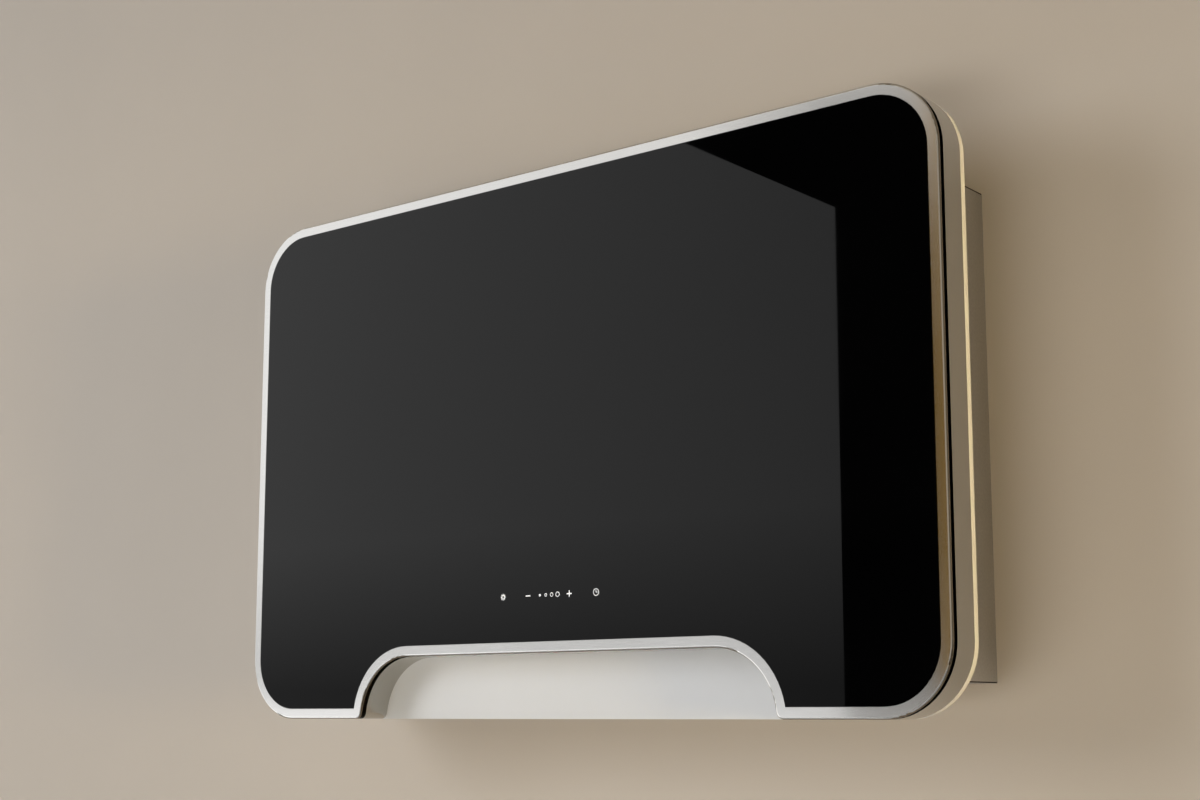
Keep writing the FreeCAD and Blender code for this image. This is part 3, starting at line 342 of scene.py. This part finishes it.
finishes["pale_enamel"] = pale_enamel()
print("enamel done")

# %% [markdown]
# ## Plastics and rubber
# Moulded parts take the fine spark texture of their mould, so they look matt even where they are smooth to the touch.
# One function makes them all: a colour that drifts very slightly, and a fine bump. Rubber is the same with more bump
# and no gloss. The light bar's opal cover lets light into it, so it gets some subsurface scattering.


# %% Moulded plastics and rubber
def moulded(name, dark, light, texture_scale, texture_depth, roughness):
    material, tree, shader, place = finish(name)
    drift = noise(tree, place, 9.0, 3.0)
    texture = noise(tree, place, texture_scale, 2.0)
    drive(tree, shader,
          Base_Color=tinted(tree, drift, dark, light),
          Roughness=between(tree, texture, *roughness))
    bump(tree, shader, texture, texture_depth)
    return material


def opal_plastic():
    material = moulded("opal_plastic", dark=(0.84, 0.84, 0.81), light=(0.90, 0.90, 0.88),
                       texture_scale=900.0, texture_depth=0.00002, roughness=(0.30, 0.38))
    shader = material.node_tree.nodes["Principled BSDF"]
    shader.inputs["Subsurface Weight"].default_value = 0.4
    shader.inputs["Subsurface Scale"].default_value = 0.004
    return material


finishes["black_plastic"] = moulded("black_plastic", dark=(0.016, 0.016, 0.017), light=(0.026, 0.026, 0.028),
                                    texture_scale=1800.0, texture_depth=0.00004, roughness=(0.42, 0.58))
finishes["grey_plastic"] = moulded("grey_plastic", dark=(0.38, 0.39, 0.40), light=(0.44, 0.45, 0.46),
                                   texture_scale=1600.0, texture_depth=0.00005, roughness=(0.42, 0.56))
finishes["rubber"] = moulded("rubber", dark=(0.022, 0.022, 0.022), light=(0.034, 0.034, 0.033),
                             texture_scale=1200.0, texture_depth=0.00008, roughness=(0.70, 0.88))
finishes["opal_plastic"] = opal_plastic()
print("plastics done")

# %% [markdown]
# ## Circuit boards and charcoal
# A board shows copper tracks as slightly raised lines under green lacquer. A brick texture with thin mortar makes such
# right-angled lines. The charcoal block is pressed from grains, and a Voronoi texture gives each grain its own tone.


# %% Boards and charcoal
def circuit_board():
    material, tree, shader, place = finish("circuit_board")
    upright = stretched(tree, place, (1.0, 1.0, 1.0), (math.radians(90.0), 0.0, 0.0))
    tracks = add(tree, "TexBrick", {"Vector": upright, "Scale": 60.0, "Mortar Size": 0.035,
                                    "Color1": (0.020, 0.120, 0.055, 1.0), "Color2": (0.026, 0.150, 0.070, 1.0),
                                    "Mortar": (0.060, 0.240, 0.120, 1.0)})
    drive(tree, shader,
          Base_Color=tracks.outputs["Color"],
          Roughness=between(tree, noise(tree, place, 300.0), 0.26, 0.36))
    bump(tree, shader, tracks.outputs["Fac"], 0.00004)
    return material


def charcoal():
    material, tree, shader, place = finish("charcoal")
    grains = add(tree, "TexVoronoi", {"Vector": place, "Scale": 420.0})
    tone = add(tree, "RGBToBW", {"Color": grains.outputs["Color"]}).outputs["Val"]
    drive(tree, shader,
          Base_Color=tinted(tree, tone, (0.008, 0.008, 0.008), (0.045, 0.044, 0.042), 0.1, 0.9),
          Roughness=between(tree, tone, 0.75, 0.98, 0.0, 1.0))
    bump(tree, shader, numbers(tree, "SUBTRACT", 1.0, grains.outputs["Distance"]), 0.0008)
    return material


finishes["circuit_board"] = circuit_board()
finishes["charcoal"] = charcoal()
print("boards and charcoal done")

# %% [markdown]
# ## Finishes on the solids
# Each solid already names the kind of stuff that it is made of, so a short loop hands every solid its finish. The rim,
# the shell and the box's top and bottom have a finish of their own, which comes first.


# %% Hand out the finishes
def paint(piece, material):
    piece.data.materials.clear()
    piece.data.materials.append(material)


for part in frame["record"]["subparts"]:
    name = part["node"]
    paint(frame["nodes"][name], own_finish.get(name) or finishes[part["material_slot"]])

# %% [markdown]
# ## Touch symbols
# The controls are white symbols printed on the glass: a light, minus, four dots that grow with the fan's speed, plus,
# and a timer. A font could supply some of them, but drawn shapes keep the real strokes and sizes. Each symbol is drawn
# flat from circles and bars, then pushed up by the thickness of a print. Rings come from two circles joined by
# bridge_loops.

# %% Drawing flat shapes
RING_STEPS = 48


def disc(shape, x, z, radius):
    place = Matrix.Translation((x, z, 0.0))
    bmesh.ops.create_circle(shape, cap_ends=True, segments=RING_STEPS, radius=radius, matrix=place)


def ring(shape, x, z, outside, stroke):
    place = Matrix.Translation((x, z, 0.0))
    edges = []
    for radius in (outside, outside - stroke):
        made = bmesh.ops.create_circle(shape, segments=RING_STEPS, radius=radius, matrix=place)
        each_once = dict.fromkeys(edge for vert in made["verts"] for edge in vert.link_edges)
        edges += list(each_once)
    bmesh.ops.bridge_loops(shape, edges=edges)


def bar(shape, x, z, length, width, degrees=0.0, offset=0.0):
    """A straight stroke about a point, or offset from it along its own direction."""
    place = (Matrix.Translation((x, z, 0.0)) @ Matrix.Rotation(math.radians(degrees), 4, "Z")
             @ Matrix.Translation((offset, 0.0, 0.0)) @ Matrix.Diagonal((length, width, 1.0, 1.0)))
    bmesh.ops.create_grid(shape, x_segments=1, y_segments=1, size=0.5, matrix=place)


print("discs, rings and bars can be drawn")

# %% [markdown]
# The symbols stand in one row, each at its own distance from the middle of the glass. The light is a small ring with
# eight rays. The four steps of speed are a dot and three rings, each a little larger than the last.

# %% Draw the symbols
ROW = -0.14175
LIGHT_X, MINUS_X, PLUS_X, TIMER_X = -0.0616, -0.0275, 0.0270, 0.0615
DOT_X, DOT_RADIUS = -0.0117, 0.00135
SPEED_RINGS = ((-0.0039, 0.00170), (0.0039, 0.00215), (0.0117, 0.00265))
STROKE, THICK_STROKE = 0.0007, 0.0012
LIGHT_RADIUS, LIGHT_STROKE = 0.0024, 0.0011
RAYS, RAY_LENGTH, RAY_WIDTH, RAY_OFFSET = 8, 0.0011, 0.0009, 0.0030
MINUS_LENGTH, PLUS_LENGTH = 0.0060, 0.0066
TIMER_RADIUS = 0.0037
TIMER_HANDS = ((0.0026, 90.0, 0.0011), (0.0022, 0.0, 0.0009))

symbols = bmesh.new()
ring(symbols, LIGHT_X, ROW, LIGHT_RADIUS, LIGHT_STROKE)
for number in range(RAYS):
    bar(symbols, LIGHT_X, ROW, RAY_LENGTH, RAY_WIDTH, 360.0 / RAYS * number, RAY_OFFSET)
bar(symbols, MINUS_X, ROW, MINUS_LENGTH, THICK_STROKE)
disc(symbols, DOT_X, ROW, DOT_RADIUS)
for x, radius in SPEED_RINGS:
    ring(symbols, x, ROW, radius, STROKE)
for turn in (0.0, 90.0):
    bar(symbols, PLUS_X, ROW, PLUS_LENGTH, THICK_STROKE, turn)
ring(symbols, TIMER_X, ROW, TIMER_RADIUS, STROKE)
for length, turn, offset in TIMER_HANDS:
    bar(symbols, TIMER_X, ROW, length, STROKE, turn, offset)
print("symbol faces:", len(symbols.faces))

# %% [markdown]
# A flat drawing has one side only. Extruding its faces gives the print a thickness, and a quarter turn about X stands
# the drawing up on the front of the glass. The print glows a little, as the lit symbols of a touch control do.

# %% Put the print on the glass
PRINT_THICK = 0.00004


def white_print():
    material, tree, shader, place = finish("white_print")
    ink = noise(tree, place, 2500.0, 2.0)
    drive(tree, shader,
          Base_Color=tinted(tree, ink, (0.80, 0.80, 0.80), (0.90, 0.90, 0.90)),
          Roughness=between(tree, ink, 0.40, 0.55))
    shader.inputs["Emission Color"].default_value = (1.0, 1.0, 1.0, 1.0)
    shader.inputs["Emission Strength"].default_value = 0.35
    return material


def as_object(shape, name, material):
    """Turn a bmesh into an object in the scene."""
    mesh = bpy.data.meshes.new(name)
    shape.to_mesh(mesh)
    shape.free()
    piece = bpy.data.objects.new(name, mesh)
    bpy.context.scene.collection.objects.link(piece)
    paint(piece, material)
    return piece


def keep_piece(shape, name, body, material):
    """Make a piece of the hood that moves with a body."""
    bmesh.ops.recalc_face_normals(shape, faces=shape.faces)
    piece = as_object(shape, name, material)
    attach(piece, body)
    return piece


raised = bmesh.ops.extrude_face_region(symbols, geom=symbols.faces[:], use_keep_orig=True)
lifted = [item for item in raised["geom"] if isinstance(item, bmesh.types.BMVert)]
bmesh.ops.translate(symbols, verts=lifted, vec=(0.0, 0.0, PRINT_THICK))
glass_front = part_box("front_glass")[0].y
stand_up = Matrix.Translation((0.0, glass_front, 0.0)) @ Matrix.Rotation(math.radians(90.0), 4, "X")
bmesh.ops.transform(symbols, matrix=stand_up, verts=symbols.verts)
touch_symbols = keep_piece(symbols, "touch_symbols", "front_panel", white_print())
print(touch_symbols.name, "stand on the glass at Y =", round(glass_front, 4))

# %% [markdown]
# ## Grease filters
# A grease filter is a stack of expanded aluminium mesh: sheet that was slit and pulled open into diamonds. The solids
# hold a plain plate there. A grid turned by 45 degrees and squeezed is a field of diamonds, bisect_plane trims it to
# the frame, and the wireframe operator turns each edge into a strand.

# %% One sheet of expanded mesh
DIAMOND_WIDE = 0.0140
DIAMOND_HIGH = 0.0075
STRAND = 0.0019
STRAND_THICK = 0.00045


def diamond_sheet(width, height, shift):
    """A sheet of diamonds, centred on the origin in the XY plane and trimmed to a rectangle."""
    sheet = bmesh.new()
    count = math.ceil(width / DIAMOND_WIDE + height / DIAMOND_HIGH) + 2
    bmesh.ops.create_grid(sheet, x_segments=count, y_segments=count, size=count / 2)
    squeeze = (Matrix.Translation((shift, 0.0, 0.0))
               @ Matrix.Diagonal((DIAMOND_WIDE / math.sqrt(2.0), DIAMOND_HIGH / math.sqrt(2.0), 1.0, 1.0))
               @ Matrix.Rotation(math.radians(45.0), 4, "Z"))
    bmesh.ops.transform(sheet, matrix=squeeze, verts=sheet.verts)
    for side, reach in ((Vector((1.0, 0.0, 0.0)), width / 2), (Vector((0.0, 1.0, 0.0)), height / 2)):
        for way in (-1.0, 1.0):
            everything = sheet.verts[:] + sheet.edges[:] + sheet.faces[:]
            bmesh.ops.bisect_plane(sheet, geom=everything, dist=1e-6, plane_co=side * way * reach,
                                   plane_no=side * way, clear_outer=True)
    return sheet


def strands(sheet):
    """Strands along all edges, flat like the sheet that they were slit from."""
    bmesh.ops.wireframe(sheet, faces=sheet.faces[:], thickness=STRAND / 2, offset=0.0, use_replace=True,
                        use_boundary=True, use_even_offset=True)
    bmesh.ops.scale(sheet, vec=(1.0, 1.0, STRAND_THICK / STRAND), verts=sheet.verts)


print("diamonds:", DIAMOND_WIDE, "by", DIAMOND_HIGH)

# %% [markdown]
# Four sheets lie behind each other in a filter, each moved sideways by a quarter of a diamond, so that the strands of
# one cover the gaps of the next. Grease sticks to them because the air can't go straight through.

# %% Stack the sheets
LAYERS = 4


def add_sheet(stack, sheet):
    loose = bpy.data.meshes.new("layer")
    sheet.to_mesh(loose)
    sheet.free()
    stack.from_mesh(loose)
    bpy.data.meshes.remove(loose)


def filter_strands(side):
    low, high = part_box("filter_mesh_" + side)
    middle = (low + high) / 2
    stack = bmesh.new()
    for layer in range(LAYERS):
        sheet = diamond_sheet(high.x - low.x - STRAND, high.z - low.z - STRAND, DIAMOND_WIDE / LAYERS * layer)
        strands(sheet)
        level = low.y + (high.y - low.y) * (layer + 0.5) / LAYERS
        stand = Matrix.Translation((middle.x, level, middle.z)) @ Matrix.Rotation(math.radians(90.0), 4, "X")
        bmesh.ops.transform(sheet, matrix=stand, verts=sheet.verts)
        add_sheet(stack, sheet)
    piece = keep_piece(stack, "filter_strands_" + side, "housing", finishes["filter_aluminium"])
    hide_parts("filter_mesh_" + side)
    return piece


for side in ("left", "right"):
    made = filter_strands(side)
    print(made.name, "triangles:", sum(len(face.vertices) - 2 for face in made.data.polygons))

# %% [markdown]
# ## Paint for the stage
# The wall and the floor are matt paint with a slight drift of tone. The camera can look through them from behind, so
# that the back of the hood can be seen as well. A surface that glows for the camera alone looks paler, but gives no
# light to the hood.


# %% Stage paint
def clear_from_behind(material):
    """Let the camera look through a surface from its rear side."""
    tree = material.node_tree
    behind = add(tree, "NewGeometry").outputs["Backfacing"]
    clear = add(tree, "BsdfTransparent").outputs["BSDF"]
    seen = add(tree, "MixShader", {0: behind, 1: tree.nodes["Principled BSDF"].outputs["BSDF"], 2: clear})
    tree.links.new(seen.outputs["Shader"], tree.nodes["Material Output"].inputs["Surface"])
    return material


def stage_paint(name, dark, light, glow):
    material, tree, shader, place = finish(name)
    cloud = noise(tree, place, 2.0, 4.0)
    watched = add(tree, "LightPath").outputs["Is Camera Ray"]
    drive(tree, shader,
          Base_Color=tinted(tree, cloud, dark, light),
          Roughness=between(tree, cloud, 0.75, 0.90),
          Emission_Strength=numbers(tree, "MULTIPLY", watched, glow))
    shader.inputs["Emission Color"].default_value = (1.0, 1.0, 0.99, 1.0)
    return clear_from_behind(material)


wall_paint = stage_paint("wall_paint", (0.615, 0.545, 0.465), (0.655, 0.58, 0.495), 0.0)
floor_paint = stage_paint("floor_paint", (0.74, 0.735, 0.72), (0.78, 0.775, 0.76), 0.45)
print("stage paints done")

# %% [markdown]
# ## Wall and floor
# A wall hood looks wrong in empty space, so it gets the wall that it hangs on, and a floor at its usual distance below.
# The wall is made of four strips. They leave an opening just behind the rear box, where the box hides it, because the
# wall would otherwise lie against the box's back.

# %% Wall and floor
WALL_GAP = 0.001
WALL_HALF = 4.0
WALL_TOP = 2.2
OPENING_INSET = 0.001
FLOOR_LEVEL = -1.75
FLOOR_HALF = 9.0


def stage_piece(shape, name, material):
    piece = as_object(shape, name, material)
    return piece


def wall():
    back_low, back_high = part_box("box_back")
    left, right = back_low.x + OPENING_INSET, back_high.x - OPENING_INSET
    foot, head = back_low.z + OPENING_INSET, back_high.z - OPENING_INSET
    strips = bmesh.new()
    for x0, x1, z0, z1 in ((-WALL_HALF, left, FLOOR_LEVEL, WALL_TOP), (right, WALL_HALF, FLOOR_LEVEL, WALL_TOP),
                           (left, right, head, WALL_TOP), (left, right, FLOOR_LEVEL, foot)):
        place = (Matrix.Translation(((x0 + x1) / 2, WALL_GAP, (z0 + z1) / 2))
                 @ Matrix.Rotation(math.radians(90.0), 4, "X") @ Matrix.Diagonal((x1 - x0, z1 - z0, 1.0, 1.0)))
        bmesh.ops.create_grid(strips, x_segments=1, y_segments=1, size=0.5, matrix=place)
    return stage_piece(strips, "wall", wall_paint)


def floor():
    ground = bmesh.new()
    place = Matrix.Translation((0.0, 0.0, FLOOR_LEVEL))
    bmesh.ops.create_grid(ground, x_segments=1, y_segments=1, size=FLOOR_HALF, matrix=place)
    return stage_piece(ground, "floor", floor_paint)


stage = [wall(), floor()]
print("stage:", [piece.name for piece in stage])

# %% [markdown]
# ## What the glass and the steel mirror
# Black glass and bright steel show little but reflections. In a studio, a large white card stands beside them for the
# grey sheen, and dark cloths hang in front where they should stay dark. Here these are upright sheets that glow softly
# and are seen in mirrors alone: they light nothing and cast no shadow.


# %% Sheets to mirror
def glowing(name, tone):
    """A material that gives light of its own, in a tone worked out from the place on it."""
    material = bpy.data.materials.new(name)
    material.use_nodes = True
    tree = material.node_tree
    tree.nodes.remove(tree.nodes["Principled BSDF"])
    lamp = add(tree, "Emission", {"Color": tone(tree, object_place(tree))})
    tree.links.new(lamp.outputs["Emission"], tree.nodes["Material Output"].inputs["Surface"])
    return material


def mirrored_only(piece):
    piece.visible_camera = False
    piece.visible_diffuse = False
    piece.visible_shadow = False
    return piece


def upright_sheet(name, start, end, levels, material):
    """A sheet that stands on the plan line from start to end."""
    (x0, y0), (x1, y1), (z0, z1) = start, end, levels
    place = (Matrix.Translation(((x0 + x1) / 2, (y0 + y1) / 2, (z0 + z1) / 2))
             @ Matrix.Rotation(math.atan2(y1 - y0, x1 - x0), 4, "Z") @ Matrix.Rotation(math.radians(90.0), 4, "X")
             @ Matrix.Diagonal((math.hypot(x1 - x0, y1 - y0), z1 - z0, 1.0, 1.0)))
    sheet = bmesh.new()
    bmesh.ops.create_grid(sheet, x_segments=1, y_segments=1, size=0.5, matrix=place)
    return mirrored_only(stage_piece(sheet, name, material))


print("sheets can be hung")

# %% [markdown]
# ## White card
# The card stands on the left. Its upper edge and its far end draw the slanted and the upright edge of the sheen in the
# glass. A soft grey band across it darkens the foot of the glass. The band climbs towards the far end, along lines that
# rise from the eye's mirror image, so that it looks level in the glass.

# %% White card
CARD_X = -2.905
CARD_ENDS = (-5.588, -1.0)
CARD_LEVELS = (-1.60, 2.055)
CARD_GLOW = 0.88
EYE_LEVEL = -0.2624
EYE_BEHIND_GLASS = 1.2026
BAND_TONE, BAND_RISE = 0.40, (0.02, 0.14)
FOOT_TONE, FOOT_RISE = 1.6, (-0.004, 0.001)
FAR_TONE, FAR_START = 0.70, -1.8


def card_tone(tree, place):
    """White, a little dimmer at the far end, with the grey band and a brighter foot."""
    along = axes(tree, place)
    away = numbers(tree, "SUBTRACT", EYE_BEHIND_GLASS, along["Y"])
    rise = numbers(tree, "DIVIDE", numbers(tree, "SUBTRACT", along["Z"], EYE_LEVEL), away)
    above = between(tree, rise, BAND_TONE, 1.0, *BAND_RISE)
    below = between(tree, rise, FOOT_TONE, 0.0, *FOOT_RISE)
    band = numbers(tree, "MAXIMUM", above, below)
    far = between(tree, along["Y"], FAR_TONE, 1.0, CARD_ENDS[0], FAR_START)
    glow = numbers(tree, "MULTIPLY", numbers(tree, "MULTIPLY", band, far), CARD_GLOW)
    return add(tree, "CombineColor", {"Red": glow, "Green": glow, "Blue": glow}).outputs["Color"]


white_card = upright_sheet("white_card", (CARD_X, CARD_ENDS[0]), (CARD_X, CARD_ENDS[1]), CARD_LEVELS,
                           glowing("card_glow", card_tone))
print(white_card.name, "is", round(CARD_ENDS[1] - CARD_ENDS[0], 3), "m long")

# %% [markdown]
# ## Cloths
# A black cloth ahead keeps the right end of the glass black, and a brown one beside it tints the right side of the rim.
# Sand and taupe cloths hang further round to the right and overhead, so that the rim's corners and the steel sides
# don't mirror the white of the room.

# %% Cloths
CLOTH_Y = -7.0
BLACK_ENDS = (-9.5, -3.17)
BROWN_END = -2.6
FRONT_END = 2.2
SIDE_START, SIDE_END = (7.0, -2.4), (6.0, 0.8)
OVERHEAD = Matrix.Translation((1.0, -3.0, 6.0)) @ Matrix.Diagonal((8.0, 3.5, 1.0, 1.0))


def cloth(name, dark, light):
    """Woven cloth with a slight drift of tone."""
    return glowing(name, lambda tree, place: tinted(tree, noise(tree, place, 0.8, 2.0), dark, light))


def ceiling_cloth(material):
    overhead = bmesh.new()
    bmesh.ops.create_grid(overhead, x_segments=1, y_segments=1, size=1.0, matrix=OVERHEAD)
    return mirrored_only(stage_piece(overhead, "ceiling_cloth", material))


black = cloth("cloth_black", (0.001, 0.001, 0.001), (0.003, 0.003, 0.003))
brown = cloth("cloth_brown", (0.17, 0.093, 0.010), (0.21, 0.118, 0.016))
taupe = cloth("cloth_taupe", (0.22, 0.18, 0.13), (0.28, 0.24, 0.18))
sand = cloth("cloth_sand", (0.27, 0.245, 0.21), (0.33, 0.30, 0.26))
hung = [
    upright_sheet("black_cloth", (BLACK_ENDS[0], CLOTH_Y), (BLACK_ENDS[1], CLOTH_Y), (-0.34, 3.128), black),
    upright_sheet("brown_cloth", (BLACK_ENDS[1], CLOTH_Y), (BROWN_END, CLOTH_Y), (-1.7, 8.0), brown),
    upright_sheet("front_cloth", (BROWN_END, CLOTH_Y), (FRONT_END, CLOTH_Y), (-1.25, 6.0), sand),
    upright_sheet("right_cloth", (FRONT_END, CLOTH_Y), SIDE_START, (-1.7, 6.0), taupe),
    upright_sheet("side_cloth", SIDE_START, SIDE_END, (-1.7, 6.0), sand),
    ceiling_cloth(taupe),
]
print("cloths:", [piece.name for piece in hung])

# %% [markdown]
# ## Lamps
# The main light comes from the left, as from a tall window, so that the hood's shadow falls to the right. A low light
# from the front fills the notch. A weak warm light from far on the right runs almost along the wall and picks out the
# narrow pale strip on the hood's side. Two more lamps light the floor and the hood's back. The lamps don't show in
# mirrors, because the card and the cloths do that work.


# %% Lamps
def soft_lamp(name, place, target, size, watts, colour, spread=180.0):
    """A rectangular lamp at a place, turned to a target. A small spread, in degrees, keeps its light together."""
    lamp = bpy.data.lights.new(name, "AREA")
    lamp.shape = "RECTANGLE"
    lamp.size, lamp.size_y = size
    lamp.energy = watts
    lamp.color = colour
    lamp.spread = math.radians(spread)
    piece = bpy.data.objects.new(name, lamp)
    piece.location = place
    piece.rotation_euler = (Vector(target) - Vector(place)).to_track_quat("-Z", "Y").to_euler()
    piece.visible_glossy = False
    piece.visible_camera = False
    bpy.context.scene.collection.objects.link(piece)
    return piece


soft_lamp("window_light", place=(-4.5, -4.0, 1.4), target=(0.5, 0.0, 0.0), size=(2.6, 2.6), watts=150.0,
          colour=(0.94, 0.98, 1.05))
soft_lamp("low_light", place=(0.3, -3.6, -1.0), target=(0.2, 0.0, -0.4), size=(3.0, 0.8), watts=9.0,
          colour=(0.985, 0.965, 0.92), spread=80.0)
soft_lamp("warm_light", place=(6.0, -1.2, -0.4), target=(0.7, 0.0, 0.0), size=(1.2, 1.2), watts=5.5,
          colour=(1.0, 0.76, 0.37), spread=24.0)
soft_lamp("floor_light", place=(0.0, -5.0, 2.6), target=(0.0, -5.0, 0.0), size=(5.0, 4.0), watts=30.0,
          colour=(1.0, 0.99, 0.98))
soft_lamp("back_light", place=(0.4, 2.6, 0.9), target=(0.0, 0.0, 0.0), size=(2.4, 2.0), watts=40.0,
          colour=(1.0, 1.0, 1.0))

# %% [markdown]
# ## World
# The world shows pale behind the stage and in mirrors, but gives hardly any light of its own, so that the shadows stay.
# The Light Path node tells the two apart: a ray that comes from the camera or from a mirror looks at the world, and any
# other ray only collects light from it.

# %% World
WORLD_LIGHT = 0.03
WORLD_SEEN = 0.80


def looked_at(tree):
    """1 where the world is seen, also in a mirror, and 0 where it only gives light to a surface."""
    path = add(tree, "LightPath").outputs
    mirrored = numbers(tree, "MAXIMUM", path["Is Glossy Ray"], path["Is Transmission Ray"])
    return numbers(tree, "MAXIMUM", path["Is Camera Ray"], mirrored)


world = bpy.data.worlds.new("pale_room")
world.use_nodes = True
bpy.context.scene.world = world
sky = world.node_tree
strength = between(sky, looked_at(sky), WORLD_LIGHT, WORLD_SEEN, 0.0, 1.0)
sky.nodes["Background"].inputs["Color"].default_value = (1.0, 0.985, 0.96, 1.0)
sky.links.new(strength, sky.nodes["Background"].inputs["Strength"])
bpy.context.scene.view_settings.view_transform = "Standard"
print("world:", world.name)
